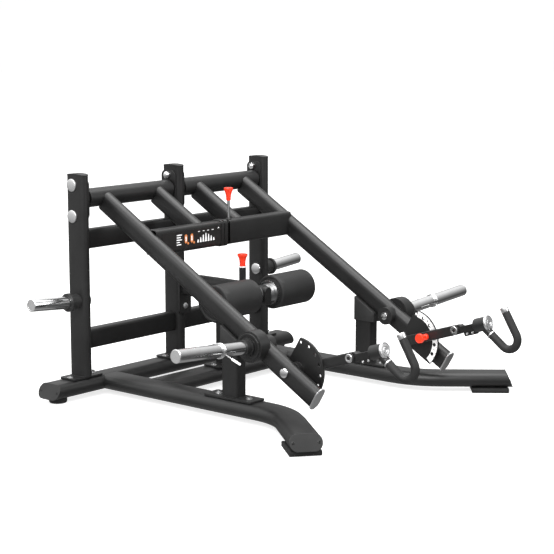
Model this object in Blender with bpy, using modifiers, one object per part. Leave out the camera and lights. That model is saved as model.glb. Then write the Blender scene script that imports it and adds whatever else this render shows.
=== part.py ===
# Squat machine with two lever arms, built in metres with +Z up.
# X runs to the right seen from the front. Forward, the side of the handles, is -Y.
# Distances forward are counted from the line of the three uprights, and the floor is Z = 0.

import math

import bmesh
import bpy
from mathutils import Matrix, Vector

# Forward distance from the uprights to the origin, which lies midway between the ends of the machine
originForward = 0.7203

# Clearance between pieces that touch, and how far welded pieces sink into each other
gap = 0.0003
sink = 0.001
slideGap = 0.001
boreGap = 0.0004

# Floor frame of flat oval tube
footHeight = 0.020
beamWidth = 0.120
beamHeight = 0.060
beamWall = 0.003
beamMid = footHeight + beamHeight / 2
beamTop = footHeight + beamHeight
beamSinkIn = 0.006
rearBeamHalf = 0.717
frontBeamForward = 0.268
sideBeamX = 0.415
bendForward = 0.958
bendAngle = math.radians(39.0)
bendRadius = 0.280
bendSteps = 6
legReach = 0.380
endSlope = math.radians(24.0)
endRun = beamHeight / 2 * math.tan(endSlope)
endCapThickness = 0.004
endBlockSize = 0.160
capProud = 0.0006
rearFootRadius = 0.036
rearFootX = 0.672
frontFootLength = 0.150
frontFootWidth = 0.118
frontFootSetback = 0.016

# Bolted base plates
plateThickness = 0.008
plateWidth = 0.084
plateCorner = 0.008
uprightPlateLength = 0.160
restPlateLength = 0.240
uprightBoltSpread = 0.061
restBoltSpread = 0.077
baseBoltRadius = 0.005
baseBoltReach = 0.022
plateTop = beamTop + gap + plateThickness

# Uprights and the rails between them
uprightX = 0.544
uprightWidth = 0.045
uprightDepth = 0.100
uprightWall = 0.003
uprightTop = 0.892
domeHeight = 0.008
railDepth = 0.050
railRadius = 0.012
railWall = 0.0025
upperRailMid = 0.636
upperRailHeight = 0.078
lowerRailMid = 0.233
lowerRailHeight = 0.080

# Pivot of the arms
pivotHeight = 0.798
pivotTubeRadius = 0.038
pivotTubeWall = 0.004
pivotTubeEnds = (0.037, 0.505)
shaftRadius = 0.015
bearingWidth = 0.014
flangeThickness = 0.006
flangeWidth = 0.078
flangeHeight = 0.160
flangeForward = -0.004
flangeMid = pivotHeight - 0.003
collarRadius = 0.030
flangeBoltForward = -0.010
flangeBoltHeights = (pivotHeight + 0.056, pivotHeight - 0.068)
flangeBoltRadius = 0.006
outerDomeRadius = 0.0245
nutRadius = 0.014
nutHeight = 0.012

# Rest posts and the saddles on them
restForward = 0.705
restPostWidth = 0.056
restPostDepth = 0.080
restPostWall = 0.003
restPostTop = 0.262
saddleHalfWidth = 0.038
saddleRear = 0.668
saddleFront = 0.772
saddleLip = 0.012
saddleGap = 0.0005

# Plate storage horns on the outer uprights
storageHeight = 0.393
storageForward = 0.007
storageTilt = math.radians(4.6)
spacerRadius = 0.029
spacerLength = 0.040
storageDiscRadius = 0.037
storageDiscLength = 0.014
storageTip = 0.807
hornRadius = 0.025
hornWall = 0.003
storageBoltRadius = 0.008

# Arms, laid out in their own frame: forward runs down the arm, up is its normal
armAngle = math.radians(30.5)
armWidth = 0.050
armHeight = 0.084
armDrop = 0.0045
armWall = 0.003
armLength = 1.289
outerArmX = 0.4165
innerArmX = 0.121
crossForward = 0.3166
crossDepth = 0.060
crossHeight = 0.100
crossCorner = 0.012
crossWall = 0.003
leftCrossEnd = 0.000
rightCrossStart = 0.0195
neckEnd = 0.0145
crossEndLength = 0.006
crossRootDepth = 0.006
neckInset = 0.008
ringProud = 0.004
ringSpans = ((-0.036, -0.023), (-0.016, 0.002))
placardSpan = (-0.380, -0.042)
placardHeight = 0.072
placardThickness = 0.0008
armCapThickness = 0.006
armCapProud = (0.002, 0.014)
armStart = 0.026
armAxisX = 0.271

# Lock pin that stands upright on the end of the right crossbar
lockPinX = 0.0425
lockPinRadius = 0.006
lockPinRise = 0.078
lockPinDepth = 0.016
knobLength = 0.053
lockKnobRadius = 0.019
lockNeckRadius = 0.0095

# Weight horn and its hub: a boss on the inner side of the arm, a drum on the outer side
# and two stepped collars round the root of the horn
hubForward = armLength - 0.314
hubBossRadius = 0.036
hubBossReach = 0.0285
drumRadius = 0.060
drumStart = 0.014
drumEnd = 0.0705
drumRimRadius = 0.052
drumRimLength = 0.004
drumRise = 0.0027
hubCollarRadius = 0.0345
hubCollarLength = 0.015
hornCollarRadius = 0.0300
hornCollarLength = 0.040
hornBoltRadius = 0.012
hornBoltHeight = 0.006
hornTilt = math.radians(5.7)
hornTip = 0.896
clipWireRadius = 0.0018
clipPitch = 0.0052
clipTurns = 2.6
clipStart = math.radians(-85.0)
clipMidX = {-1: 0.656, 1: 0.680}
clipHandleLength = 0.068
clipHandleLean = 0.20
clipSteps = 14
clipClearance = 0.0006

# Index plate and its lever
indexForward = armLength - 0.152
indexRadius = 0.123
indexRearCut = 0.052
indexCorner = 0.012
indexLowerCut = 0.035
indexThickness = 0.008
indexInner = 0.362
indexHoleCircle = 0.106
indexHoleRadius = 0.0062
leverRest = math.radians(17.6)
holeStep = math.radians(21.75)
holeFirst = -2
holeLast = 3
pivotBossRadius = 0.030
handlePivotRadius = 0.008
handlePivotCapRadius = 0.018
handleWasherRadius = 0.0165
leverX = 0.3365
leverSize = 0.040
leverWall = 0.004
leverCavityStart = 0.026
leverCorner = 0.005
yokeReach = 0.2425
forkDepth = 0.040
indexPinRadius = 0.005
indexCollarRadius = 0.0095
indexCollarLength = 0.003
indexKnobLength = 0.054
indexHeadRadius = 0.0185
indexHeadLength = 0.016
indexDiscRadius = 0.0120
indexDiscLength = 0.011
indexNeckRadius = 0.0088

# Yoke, swivel barrel and grip, laid out in the frame of the lever
yokeBlockStart = 0.268
yokeBlockEnd = 0.334
yokeBlockTop = 0.010
yokeBlockBottom = 0.017
yokeShoulder = 0.004
yokeBoltRadius = 0.007
yokeCapRadius = 0.016
spindleRadius = 0.012
barrelRadius = 0.0275
barrelEnds = (0.3345, 0.389)
barrelCapRadius = 0.030
barrelCapLength = 0.008
gripRoot = 0.360
gripDrop = math.radians(-54.2)
gripLegLength = 0.1247
gripBendRadius = 0.040
gripTurn = math.radians(158.0)
gripRiseLength = 0.112
gripBendSteps = 10
gripCoreRadius = 0.0125
gripStubRadius = 0.0165
gripRingPlace = 0.055
gripRingLength = 0.006
gripFoamRadius = 0.016
gripFoamStart = 0.063
gripEndLength = 0.016

# Foam rollers on their sliding carriage
rollerForward = 0.480
rollerHeight = 0.399
rollerRadius = 0.070
rollerEnds = (0.062, 0.274)
rollerEdge = 0.008
rollerAxleRadius = 0.0125
rollerHubRadius = 0.036
rollerHubHalf = 0.048
rollerDiscRadius = 0.050
rollerCapRadius = 0.030
rollerBeamWidth = 0.050
rollerBeamHeight = 0.098
rollerBeamWall = 0.003
rollerBeamMid = 0.3945
rollerBeamFront = 0.420
rollerPlateEnds = (0.0513, 0.0613)
rollerPlateSpan = (0.270, 0.460)
rollerPlateWidth = 0.070
rollerPlateBolts = (0.303,)
carriageRear = 0.200
carriageWall = 0.003
rollerPostForward = 0.278
rollerPostSize = 0.050
rollerPostWall = 0.003
braceRadius = 0.009
braceForward = 0.146
braceBend = 0.084
braceLead = 0.004
rollerPinForward = 0.384
rollerPinRadius = 0.005
rollerSleeveRadius = 0.0145
rollerSleeveTop = 0.499
rollerRingTop = 0.511
rollerKnobTop = 0.555

# Facets of round pieces
wideFacets = 22
tubeFacets = 18
pinFacets = 12
boltFacets = 8
hexFacets = 6
ovalSteps = 6

halfTurn = math.pi
quarterTurn = math.pi / 2
acrossRotation = Matrix(((0, 0, -1), (-1, 0, 0), (0, 1, 0))).to_euler()
uprightRotation = (halfTurn, 0.0, 0.0)
forwardRotation = (quarterTurn, 0.0, 0.0)

for item in list(bpy.data.objects):
    bpy.data.objects.remove(item, do_unlink=True)

partCollection = bpy.data.collections.new("squat_machine")
cutterCollection = bpy.data.collections.new("cutters")
bpy.context.scene.collection.children.link(partCollection)
bpy.context.scene.collection.children.link(cutterCollection)


def at(x, forward, up):
    return Vector((x, -forward, up))


def makeMaterial(name, colour, roughness, metallic):
    material = bpy.data.materials.new(name)
    material.use_nodes = True
    shader = material.node_tree.nodes["Principled BSDF"]
    shader.inputs["Base Color"].default_value = (*colour, 1.0)
    shader.inputs["Roughness"].default_value = roughness
    shader.inputs["Metallic"].default_value = metallic
    return material


blackCoat = makeMaterial("black_powder_coat", (0.045, 0.045, 0.048), 0.45, 0.2)
darkCoat = makeMaterial("dark_powder_coat", (0.020, 0.020, 0.022), 0.45, 0.2)
blackPlastic = makeMaterial("black_plastic", (0.030, 0.030, 0.032), 0.55, 0.0)
blackRubber = makeMaterial("black_rubber", (0.018, 0.018, 0.019), 0.75, 0.0)
blackFoam = makeMaterial("black_foam", (0.022, 0.022, 0.023), 0.80, 0.0)
chromePlate = makeMaterial("chrome_plate", (0.80, 0.80, 0.82), 0.12, 1.0)
redPlastic = makeMaterial("red_plastic", (0.85, 0.06, 0.02), 0.35, 0.0)
placardFace = makeMaterial("placard_face", (0.030, 0.028, 0.027), 0.40, 0.0)


def roundedLoop(width, height, radius, steps=4, grow=0.0, centre=(0.0, 0.0)):
    halfWidth = width / 2 + grow
    halfHeight = height / 2 + grow
    corner = min(radius + grow, halfWidth, halfHeight)
    points = []
    for index, (signX, signY) in enumerate(((1, 1), (-1, 1), (-1, -1), (1, -1))):
        middle = (centre[0] + signX * (halfWidth - corner), centre[1] + signY * (halfHeight - corner))
        for step in range(steps + 1):
            angle = quarterTurn * (index + step / steps)
            point = (middle[0] + corner * math.cos(angle), middle[1] + corner * math.sin(angle))
            if not points or math.dist(point, points[-1]) > 1e-6:
                points.append(point)
    if math.dist(points[0], points[-1]) < 1e-6:
        points.pop()
    return points


def ovalLoop(width, height, grow=0.0):
    return roundedLoop(width, height, min(width, height) / 2, ovalSteps // 2, grow)


# A polygon round the circle, so that a round rod of the given radius fits inside
def holeLoop(radius, facets, centre=(0.0, 0.0)):
    outer = radius / math.cos(halfTurn / facets)
    turns = [2 * halfTurn * index / facets for index in range(facets)]
    return [(centre[0] + outer * math.cos(turn), centre[1] + outer * math.sin(turn)) for turn in turns]


def ovalTube(width, height, wall):
    return [ovalLoop(width, height), ovalLoop(width - 2 * wall, height - 2 * wall)]


def roundedTube(width, height, radius, wall, steps=3):
    inner = roundedLoop(width - 2 * wall, height - 2 * wall, radius - wall, steps)
    return [roundedLoop(width, height, radius, steps), inner]


# The origin lies on the floor below the middle of the whole machine, so loose pieces move by that much
def place(item, location, rotation, parent):
    item.location = location if parent else Vector(location) + Vector((0.0, originForward, 0.0))
    item.rotation_euler = rotation
    if parent:
        item.parent = parent


def makeObject(name, mesh, material, location, rotation, parent=None, collection=None):
    item = bpy.data.objects.new(name, mesh)
    (collection or partCollection).objects.link(item)
    if material:
        mesh.materials.clear()
        mesh.materials.append(material)
    place(item, location, rotation, parent)
    return item


def makeEmpty(name, location, rotation=(0.0, 0.0, 0.0), parent=None):
    return makeObject(name, None, None, location, rotation, parent)


def curveToMesh(name, curve):
    guide = bpy.data.objects.new(name + "_guide", curve)
    partCollection.objects.link(guide)
    bpy.context.view_layer.update()
    shaped = guide.evaluated_get(bpy.context.evaluated_depsgraph_get())
    mesh = bpy.data.meshes.new_from_object(shaped)
    mesh.name = name
    bpy.data.objects.remove(guide, do_unlink=True)
    shape = bmesh.new()
    shape.from_mesh(mesh)
    bmesh.ops.remove_doubles(shape, verts=shape.verts, dist=1e-5)
    bmesh.ops.recalc_face_normals(shape, faces=shape.faces)
    shape.to_mesh(mesh)
    shape.free()
    return mesh


def outlineCurve(name, loops, thickness=0.0):
    curve = bpy.data.curves.new(name, "CURVE")
    curve.dimensions = "2D"
    curve.fill_mode = "BOTH"
    curve.extrude = thickness / 2
    for loop in loops:
        spline = curve.splines.new("POLY")
        spline.points.add(len(loop) - 1)
        for point, (across, along) in zip(spline.points, loop):
            point.co = (across, along, 0.0, 1.0)
        spline.use_cyclic_u = True
    return curve


def prismMesh(name, loops, thickness):
    return curveToMesh(name, outlineCurve(name, loops, thickness))


def smooth(mesh, limit=32.0):
    mesh.shade_smooth()
    mesh.set_sharp_from_angle(angle=math.radians(limit))


def bevelEdges(item, width, segments=2, limit=40.0):
    modifier = item.modifiers.new("rounded_edges", "BEVEL")
    modifier.width = width
    modifier.segments = segments
    modifier.limit_method = "ANGLE"
    modifier.angle_limit = math.radians(limit)
    return modifier


def combine(item, other, operation):
    modifier = item.modifiers.new(operation.lower(), "BOOLEAN")
    modifier.operation = operation
    modifier.solver = "EXACT"
    modifier.object = other
    return modifier


def cut(item, *cutters):
    for cutter in cutters:
        combine(item, cutter, "DIFFERENCE")


def makeCutter(name, mesh, location, rotation, parent=None):
    item = makeObject(name, mesh, None, location, rotation, parent, cutterCollection)
    item.hide_render = True
    item.display_type = "WIRE"
    return item


def acrossPrism(name, loops, startX, endX, material, parent=None, forward=0.0, up=0.0):
    mesh = prismMesh(name, loops, abs(endX - startX))
    location = at((startX + endX) / 2, forward, up)
    if material is None:
        return makeCutter(name, mesh, location, acrossRotation, parent)
    return makeObject(name, mesh, material, location, acrossRotation, parent)


def forwardPrism(name, loops, start, end, material, parent=None, x=0.0, up=0.0):
    mesh = prismMesh(name, loops, abs(end - start))
    location = at(x, (start + end) / 2, up)
    if material is None:
        return makeCutter(name, mesh, location, forwardRotation, parent)
    return makeObject(name, mesh, material, location, forwardRotation, parent)


def uprightPrism(name, loops, start, end, material, parent=None, x=0.0, forward=0.0):
    mesh = prismMesh(name, loops, abs(end - start))
    location = at(x, forward, (start + end) / 2)
    if material is None:
        return makeCutter(name, mesh, location, uprightRotation, parent)
    return makeObject(name, mesh, material, location, uprightRotation, parent)


def cylinderMesh(name, radius, length, facets, upper=None):
    mesh = bpy.data.meshes.new(name)
    shape = bmesh.new()
    bmesh.ops.create_cone(
        shape,
        cap_ends=True,
        segments=facets,
        radius1=radius,
        radius2=radius if upper is None else upper,
        depth=length,
    )
    shape.to_mesh(mesh)
    shape.free()
    return mesh


def boxMesh(name, sizeX, sizeForward, sizeUp):
    mesh = bpy.data.meshes.new(name)
    shape = bmesh.new()
    bmesh.ops.create_cube(shape, size=1.0)
    bmesh.ops.scale(shape, vec=(sizeX, sizeForward, sizeUp), verts=shape.verts)
    shape.to_mesh(mesh)
    shape.free()
    return mesh


def boxCutter(name, sizes, location, parent=None, rotation=(0.0, 0.0, 0.0)):
    return makeCutter(name, boxMesh(name, *sizes), location, rotation, parent)


def axisRotation(direction):
    return Vector(direction).to_track_quat("Z", "Y").to_euler()


def rodCutter(name, radius, start, end, parent=None, facets=boltFacets):
    direction = Vector(end) - Vector(start)
    mesh = cylinderMesh(name, radius / math.cos(halfTurn / facets), direction.length, facets)
    middle = (Vector(start) + Vector(end)) / 2
    return makeCutter(name, mesh, middle, axisRotation(direction), parent)


# A turned piece: the profile runs from its top to its bottom on the outer side
def turned(name, profile, facets, material, location, rotation, parent=None, ring=False):
    mesh = bpy.data.meshes.new(name)
    edges = [(index, index + 1) for index in range(len(profile) - 1)]
    if ring:
        edges.append((len(profile) - 1, 0))
    mesh.from_pydata([(radius, 0.0, height) for radius, height in profile], edges, [])
    item = makeObject(name, mesh, material, location, rotation, parent)
    modifier = item.modifiers.new("turn", "SCREW")
    modifier.axis = "Z"
    modifier.angle = 2 * halfTurn
    modifier.steps = facets
    modifier.render_steps = facets
    modifier.use_merge_vertices = True
    modifier.merge_threshold = 0.00002
    return item


def ringProfile(outer, inner, bottom, top, edge):
    return [
        (outer - edge, top),
        (outer, top - edge),
        (outer, bottom + edge),
        (outer - edge, bottom),
        (inner, bottom),
        (inner, top),
    ]


# Welds pieces onto another one, so that they make a single body
def weld(item, *pieces):
    for piece in pieces:
        combine(item, piece, "UNION")
        for collection in list(piece.users_collection):
            collection.objects.unlink(piece)
        cutterCollection.objects.link(piece)
        piece.hide_render = True
        piece.display_type = "WIRE"


def boltProfile(headRadius, headHeight, shankRadius, shankLength):
    return [
        (0.0, headHeight),
        (headRadius * 0.7, headHeight * 0.85),
        (headRadius, headHeight * 0.35),
        (headRadius, 0.0),
        (shankRadius, 0.0),
        (shankRadius, -shankLength),
        (0.0, -shankLength),
    ]


def bolt(name, head, shank, location, rotation, parent=None, facets=boltFacets):
    profile = boltProfile(*head, *shank)
    return turned(name, profile, facets, chromePlate, location, rotation, parent)


turnOut = {-1: (0.0, -quarterTurn, 0.0), 1: (0.0, quarterTurn, 0.0)}
sides = ((-1, "left"), (1, "right"))
uprightPlaces = (("left", -uprightX), ("middle", 0.0), ("right", uprightX))


def legDirection(side):
    return at(side * math.sin(bendAngle), math.cos(bendAngle), 0.0)


def legEnd(side):
    return at(side * sideBeamX, bendForward, beamMid) + legDirection(side) * legReach


def sideBeamPath(side, start, extra=0.0):
    tangent = bendRadius * math.tan(bendAngle / 2)
    points = [at(side * sideBeamX, start, beamMid)]
    for step in range(bendSteps + 1):
        angle = bendAngle * step / bendSteps
        x = sideBeamX + bendRadius * (1 - math.cos(angle))
        forward = bendForward - tangent + bendRadius * math.sin(angle)
        points.append(at(side * x, forward, beamMid))
    points.append(legEnd(side) + legDirection(side) * extra)
    return points


# A closed bar with the given section along a path that lies level
def sweepMesh(name, points, loop):
    section = bpy.data.objects.new(name + "_section", outlineCurve(name + "_section", [loop]))
    section.data.fill_mode = "NONE"
    cutterCollection.objects.link(section)
    path = bpy.data.curves.new(name, "CURVE")
    path.dimensions = "3D"
    path.twist_mode = "Z_UP"
    path.bevel_mode = "OBJECT"
    path.bevel_object = section
    path.use_fill_caps = True
    spline = path.splines.new("POLY")
    spline.points.add(len(points) - 1)
    for point, spot in zip(spline.points, points):
        point.co = (*spot, 1.0)
    mesh = curveToMesh(name, path)
    bpy.data.objects.remove(section, do_unlink=True)
    return mesh


# A round bar along a path
def pathTube(name, points, radius, material, parent=None, resolution=2, caps=True):
    curve = bpy.data.curves.new(name, "CURVE")
    curve.dimensions = "3D"
    curve.bevel_depth = radius
    curve.bevel_resolution = resolution
    curve.use_fill_caps = caps
    spline = curve.splines.new("POLY")
    spline.points.add(len(points) - 1)
    for point, spot in zip(spline.points, points):
        point.co = (*spot, 1.0)
    mesh = curveToMesh(name, curve)
    return makeObject(name, mesh, material, (0.0, 0.0, 0.0), (0.0, 0.0, 0.0), parent)


# Block whose inner face slopes through the spot, for the slanted end of a beam that points along the heading
def slantCutter(name, spot, heading):
    turn = (0.0, -endSlope, heading)
    level = math.cos(endSlope)
    out = Vector((level * math.cos(heading), level * math.sin(heading), math.sin(endSlope)))
    sizes = (endBlockSize, endBlockSize, endBlockSize)
    return makeCutter(name, boxMesh(name, *sizes), Vector(spot) + out * endBlockSize / 2, turn)


def boltHole(name, x, forward):
    low = at(x, forward, beamTop - beamWall - 0.004)
    high = at(x, forward, beamTop + 0.004)
    return rodCutter(name, baseBoltRadius + boreGap, low, high)


# Base plate with its two bolts, welded under a post
def addBasePlate(post, label, x, forward, length, width, offsets):
    low = beamTop + gap
    outline = [roundedLoop(length, width, plateCorner, 3)]
    plate = uprightPrism(
        label + "_plate", outline, low, low + plateThickness, blackCoat, x=x, forward=forward
    )
    weld(post, plate)
    for index, (offsetX, offsetForward) in enumerate(offsets):
        profile = [
            (0.0, 0.012),
            (0.0085, 0.0095),
            (0.0085, 0.0020),
            (0.0125, 0.0020),
            (0.0125, -sink),
            (baseBoltRadius, -sink),
            (baseBoltRadius, -baseBoltReach),
            (0.0, -baseBoltReach),
        ]
        spot = at(x + offsetX, forward + offsetForward, plateTop)
        name = "%s_base_bolt_%d" % (label, index)
        weld(post, turned(name, profile, hexFacets, chromePlate, spot, (0.0, 0.0, 0.0)))


# Floor frame
uprightBolts = ((-uprightBoltSpread, 0.0), (uprightBoltSpread, 0.0))
restBolts = ((0.0, -restBoltSpread), (0.0, restBoltSpread))
beamTube = ovalTube(beamWidth, beamHeight, beamWall)
beamShape = [ovalLoop(beamWidth, beamHeight, gap)]

rearReach = rearBeamHalf + endRun
rearBeam = acrossPrism("rear_beam", beamTube[:1], -rearReach, rearReach, blackCoat, up=beamMid)
rearBeamCutter = acrossPrism("rear_beam_cutter", beamShape, -rearReach, rearReach, None, up=beamMid)
boreHalf = rearBeamHalf - endRun - endCapThickness
cut(rearBeam, acrossPrism("rear_beam_bore", beamTube[1:], -boreHalf, boreHalf, None, up=beamMid))
for heading, end in ((0.0, rearBeamHalf), (halfTurn, -rearBeamHalf)):
    cut(rearBeam, slantCutter("rear_slant_%d" % math.degrees(heading), at(end, 0.0, beamMid), heading))
for label, x in uprightPlaces:
    for index, (offset, forward) in enumerate(uprightBolts):
        cut(rearBeam, boltHole("rear_hole_%s_%d" % (label, index), x + offset, forward))

sideCutters = []
for side, label in sides:
    outerPath = sideBeamPath(side, 0.038, endRun)
    beamMesh = sweepMesh("side_beam_" + label, outerPath, ovalLoop(beamWidth, beamHeight))
    beam = makeObject("side_beam_" + label, beamMesh, blackCoat, (0, 0, 0), (0, 0, 0))
    boreLoop = ovalLoop(beamWidth - 2 * beamWall, beamHeight - 2 * beamWall)
    borePath = sideBeamPath(side, 0.020, -endRun - endCapThickness)
    boreMesh = sweepMesh("side_bore_" + label, borePath, boreLoop)
    bore = makeCutter("side_bore_" + label, boreMesh, (0, 0, 0), (0, 0, 0))
    way = legDirection(side)
    slant = slantCutter("side_slant_" + label, legEnd(side), math.atan2(way.y, way.x))
    cut(beam, bore, rearBeamCutter, slant)
    for index, (offset, forward) in enumerate(restBolts):
        spotX = side * sideBeamX + offset
        cut(beam, boltHole("rest_hole_%s_%d" % (label, index), spotX, restForward + forward))
    smooth(beam.data)
    sideShape = forwardPrism(
        "side_shape_" + label, beamShape, 0.020, 0.800, None, x=side * sideBeamX, up=beamMid
    )
    sideCutters.append(sideShape)

frontHalf = sideBeamX - beamWidth / 2 + beamHeight / 2 - beamSinkIn
frontBeam = acrossPrism(
    "front_beam", beamTube, -frontHalf, frontHalf, blackCoat, forward=frontBeamForward, up=beamMid
)
cut(frontBeam, *sideCutters)
for index, (offset, forward) in enumerate(uprightBolts):
    cut(frontBeam, boltHole("front_hole_%d" % index, offset, rollerPostForward + forward))
smooth(rearBeam.data)
smooth(frontBeam.data)

# Rubber feet under the ends of the beams
footTop = footHeight - gap
for side, label in sides:
    profile = [
        (0.0, footTop),
        (rearFootRadius, footTop),
        (rearFootRadius, 0.004),
        (rearFootRadius - 0.003, 0.0),
        (0.0, 0.0),
    ]
    spot = at(side * rearFootX, 0.0, 0.0)
    foot = turned("rear_foot_" + label, profile, tubeFacets, blackRubber, spot, (0, 0, 0))
    smooth(foot.data)
    centre = legEnd(side) + legDirection(side) * (endRun - frontFootSetback - frontFootLength / 2)
    padMesh = boxMesh("front_foot_" + label, frontFootWidth, frontFootLength, footTop)
    padSpot = (centre.x, centre.y, footTop / 2)
    pad = makeObject("front_foot_" + label, padMesh, blackRubber, padSpot, (0.0, 0.0, side * bendAngle))
    bevelEdges(pad, 0.003, 2)

# Uprights with their base plates and domed caps
postBottom = plateTop - sink
uprightTube = ovalTube(uprightWidth, uprightDepth, uprightWall)
uprights = {}
for label, x in uprightPlaces:
    post = uprightPrism("upright_" + label, uprightTube, postBottom, uprightTop, blackCoat, x=x)
    addBasePlate(post, "upright_" + label, x, 0.0, uprightPlateLength, plateWidth, uprightBolts)
    reach = uprightDepth / 2 + 0.004
    arch = [(-reach, -sink), (reach, -sink)]
    for step in range(5):
        position = 1 - step / 2
        arch.append((position * reach, domeHeight - 0.0055 * position * position))
    slab = acrossPrism("upright_cap_" + label, [arch], x - 0.030, x + 0.030, blackCoat, up=uprightTop)
    trimShape = [ovalLoop(uprightWidth, uprightDepth, capProud)]
    trim = uprightPrism("cap_trim_" + label, trimShape, uprightTop - 0.01, uprightTop + 0.03, None, x=x)
    combine(slab, trim, "INTERSECT")
    weld(post, slab)
    for height in flangeBoltHeights:
        start = at(x - 0.030, flangeBoltForward, height)
        end = at(x + 0.030, flangeBoltForward, height)
        name = "upright_hole_%s_%d" % (label, height * 1000)
        cut(post, rodCutter(name, flangeBoltRadius + boreGap, start, end))
    uprights[label] = post
for side, label in sides:
    start = at(side * (uprightX - 0.030), storageForward, storageHeight)
    end = at(side * (uprightX + 0.030), storageForward, storageHeight)
    cut(uprights[label], rodCutter("storage_hole_" + label, storageBoltRadius + boreGap, start, end))
for height in rollerPlateBolts:
    start = at(0.0, uprightDepth / 2 - 0.012, height)
    end = at(0.0, uprightDepth / 2 + 0.005, height)
    name = "plate_hole_%d" % (height * 1000)
    cut(uprights["middle"], rodCutter(name, baseBoltRadius + boreGap, start, end))
for post in uprights.values():
    smooth(post.data)

# Rails between the uprights
railStart = uprightWidth / 2 + gap
railEnd = uprightX - uprightWidth / 2 - gap
railRows = (("upper", upperRailMid, upperRailHeight), ("lower", lowerRailMid, lowerRailHeight))
for level, middle, height in railRows:
    for side, label in sides:
        rail = acrossPrism(
            "%s_rail_%s" % (level, label),
            roundedTube(railDepth, height, railRadius, railWall, 4),
            side * railStart,
            side * railEnd,
            darkCoat,
            up=middle,
        )
        smooth(rail.data)

# Bearing flanges with their bolts. The shaft of each arm is fixed to the outer flange.
flangeStack = uprightWidth / 2 + gap + flangeThickness


def flangePlate(name, side, start, end, holes):
    outline = [roundedLoop(flangeWidth, flangeHeight, 0.022, 4)]
    for height in flangeBoltHeights if holes else ():
        spot = (flangeBoltForward - flangeForward, height - flangeMid)
        outline.append(holeLoop(flangeBoltRadius + boreGap, boltFacets, spot))
    return acrossPrism(
        name, outline, side * start, side * end, blackCoat, forward=flangeForward, up=flangeMid
    )


def shaftRing(name, side, start, end, outer, inner):
    low, high = sorted((side * start, side * end))
    place = at(0.0, 0.0, pivotHeight)
    profile = ringProfile(outer, inner, low, high, 0.001)
    return turned(name, profile, tubeFacets, blackCoat, place, turnOut[1], ring=True)


for side, label in sides:
    outerFace = uprightX - uprightWidth / 2 - gap
    innerFace = uprightWidth / 2 + gap
    flange = flangePlate("pivot_shaft_" + label, side, outerFace - flangeThickness, outerFace, False)
    collarEnd = pivotTubeEnds[1] + slideGap
    weld(
        flange,
        shaftRing(
            "outer_collar_" + label,
            side,
            collarEnd,
            outerFace - flangeThickness + sink,
            collarRadius,
            shaftRadius - sink,
        ),
    )
    shaftEnd = innerFace + flangeThickness + gap
    length = outerFace - sink - shaftEnd
    middle = at(side * (shaftEnd + length / 2), 0.0, pivotHeight)
    shaftMesh = cylinderMesh("shaft_" + label, shaftRadius, length, tubeFacets)
    weld(flange, makeObject("shaft_" + label, shaftMesh, blackCoat, middle, turnOut[1]))
    for height in flangeBoltHeights:
        name = "%s_%d" % (label, height * 1000)
        head = at(side * (uprightX + uprightWidth / 2 + gap), flangeBoltForward, height)
        shank = uprightWidth + 2 * gap + flangeThickness / 2
        dome = (outerDomeRadius, 0.007)
        rod = (flangeBoltRadius, shank)
        weld(flange, bolt("dome_" + name, dome, rod, head, turnOut[side], None, pinFacets))
        nut = at(side * (outerFace - flangeThickness + sink - nutHeight / 2), flangeBoltForward, height)
        nutMesh = cylinderMesh("nut_" + name, nutRadius, nutHeight, boltFacets)
        weld(flange, makeObject("nut_" + name, nutMesh, chromePlate, nut, turnOut[1]))
    smooth(flange.data)

    # Flange on the middle upright: the left one carries the bolts, the right one their nuts
    face = innerFace + flangeThickness
    flange = flangePlate("middle_flange_" + label, side, innerFace, face, side > 0)
    collarStart = face - sink
    collarEnd = pivotTubeEnds[0] - slideGap
    collarBore = shaftRadius + gap
    ringName = "middle_collar_" + label
    weld(flange, shaftRing(ringName, side, collarStart, collarEnd, collarRadius, collarBore))
    for height in flangeBoltHeights:
        name = "%s_%d" % (label, height * 1000)
        spot = at(side * (face - sink), flangeBoltForward, height)
        if side < 0:
            shank = 2 * flangeStack + 0.010
            rod = (flangeBoltRadius, shank)
            weld(flange, bolt("middle_bolt_" + name, (nutRadius, nutHeight), rod, spot, turnOut[-1]))
        else:
            bore = flangeBoltRadius + boreGap
            profile = [(nutRadius, nutHeight), (nutRadius, 0.0), (bore, 0.0), (bore, nutHeight)]
            nutName = "middle_nut_" + name
            weld(flange, turned(nutName, profile, boltFacets, chromePlate, spot, turnOut[1], ring=True))
    smooth(flange.data)

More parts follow.
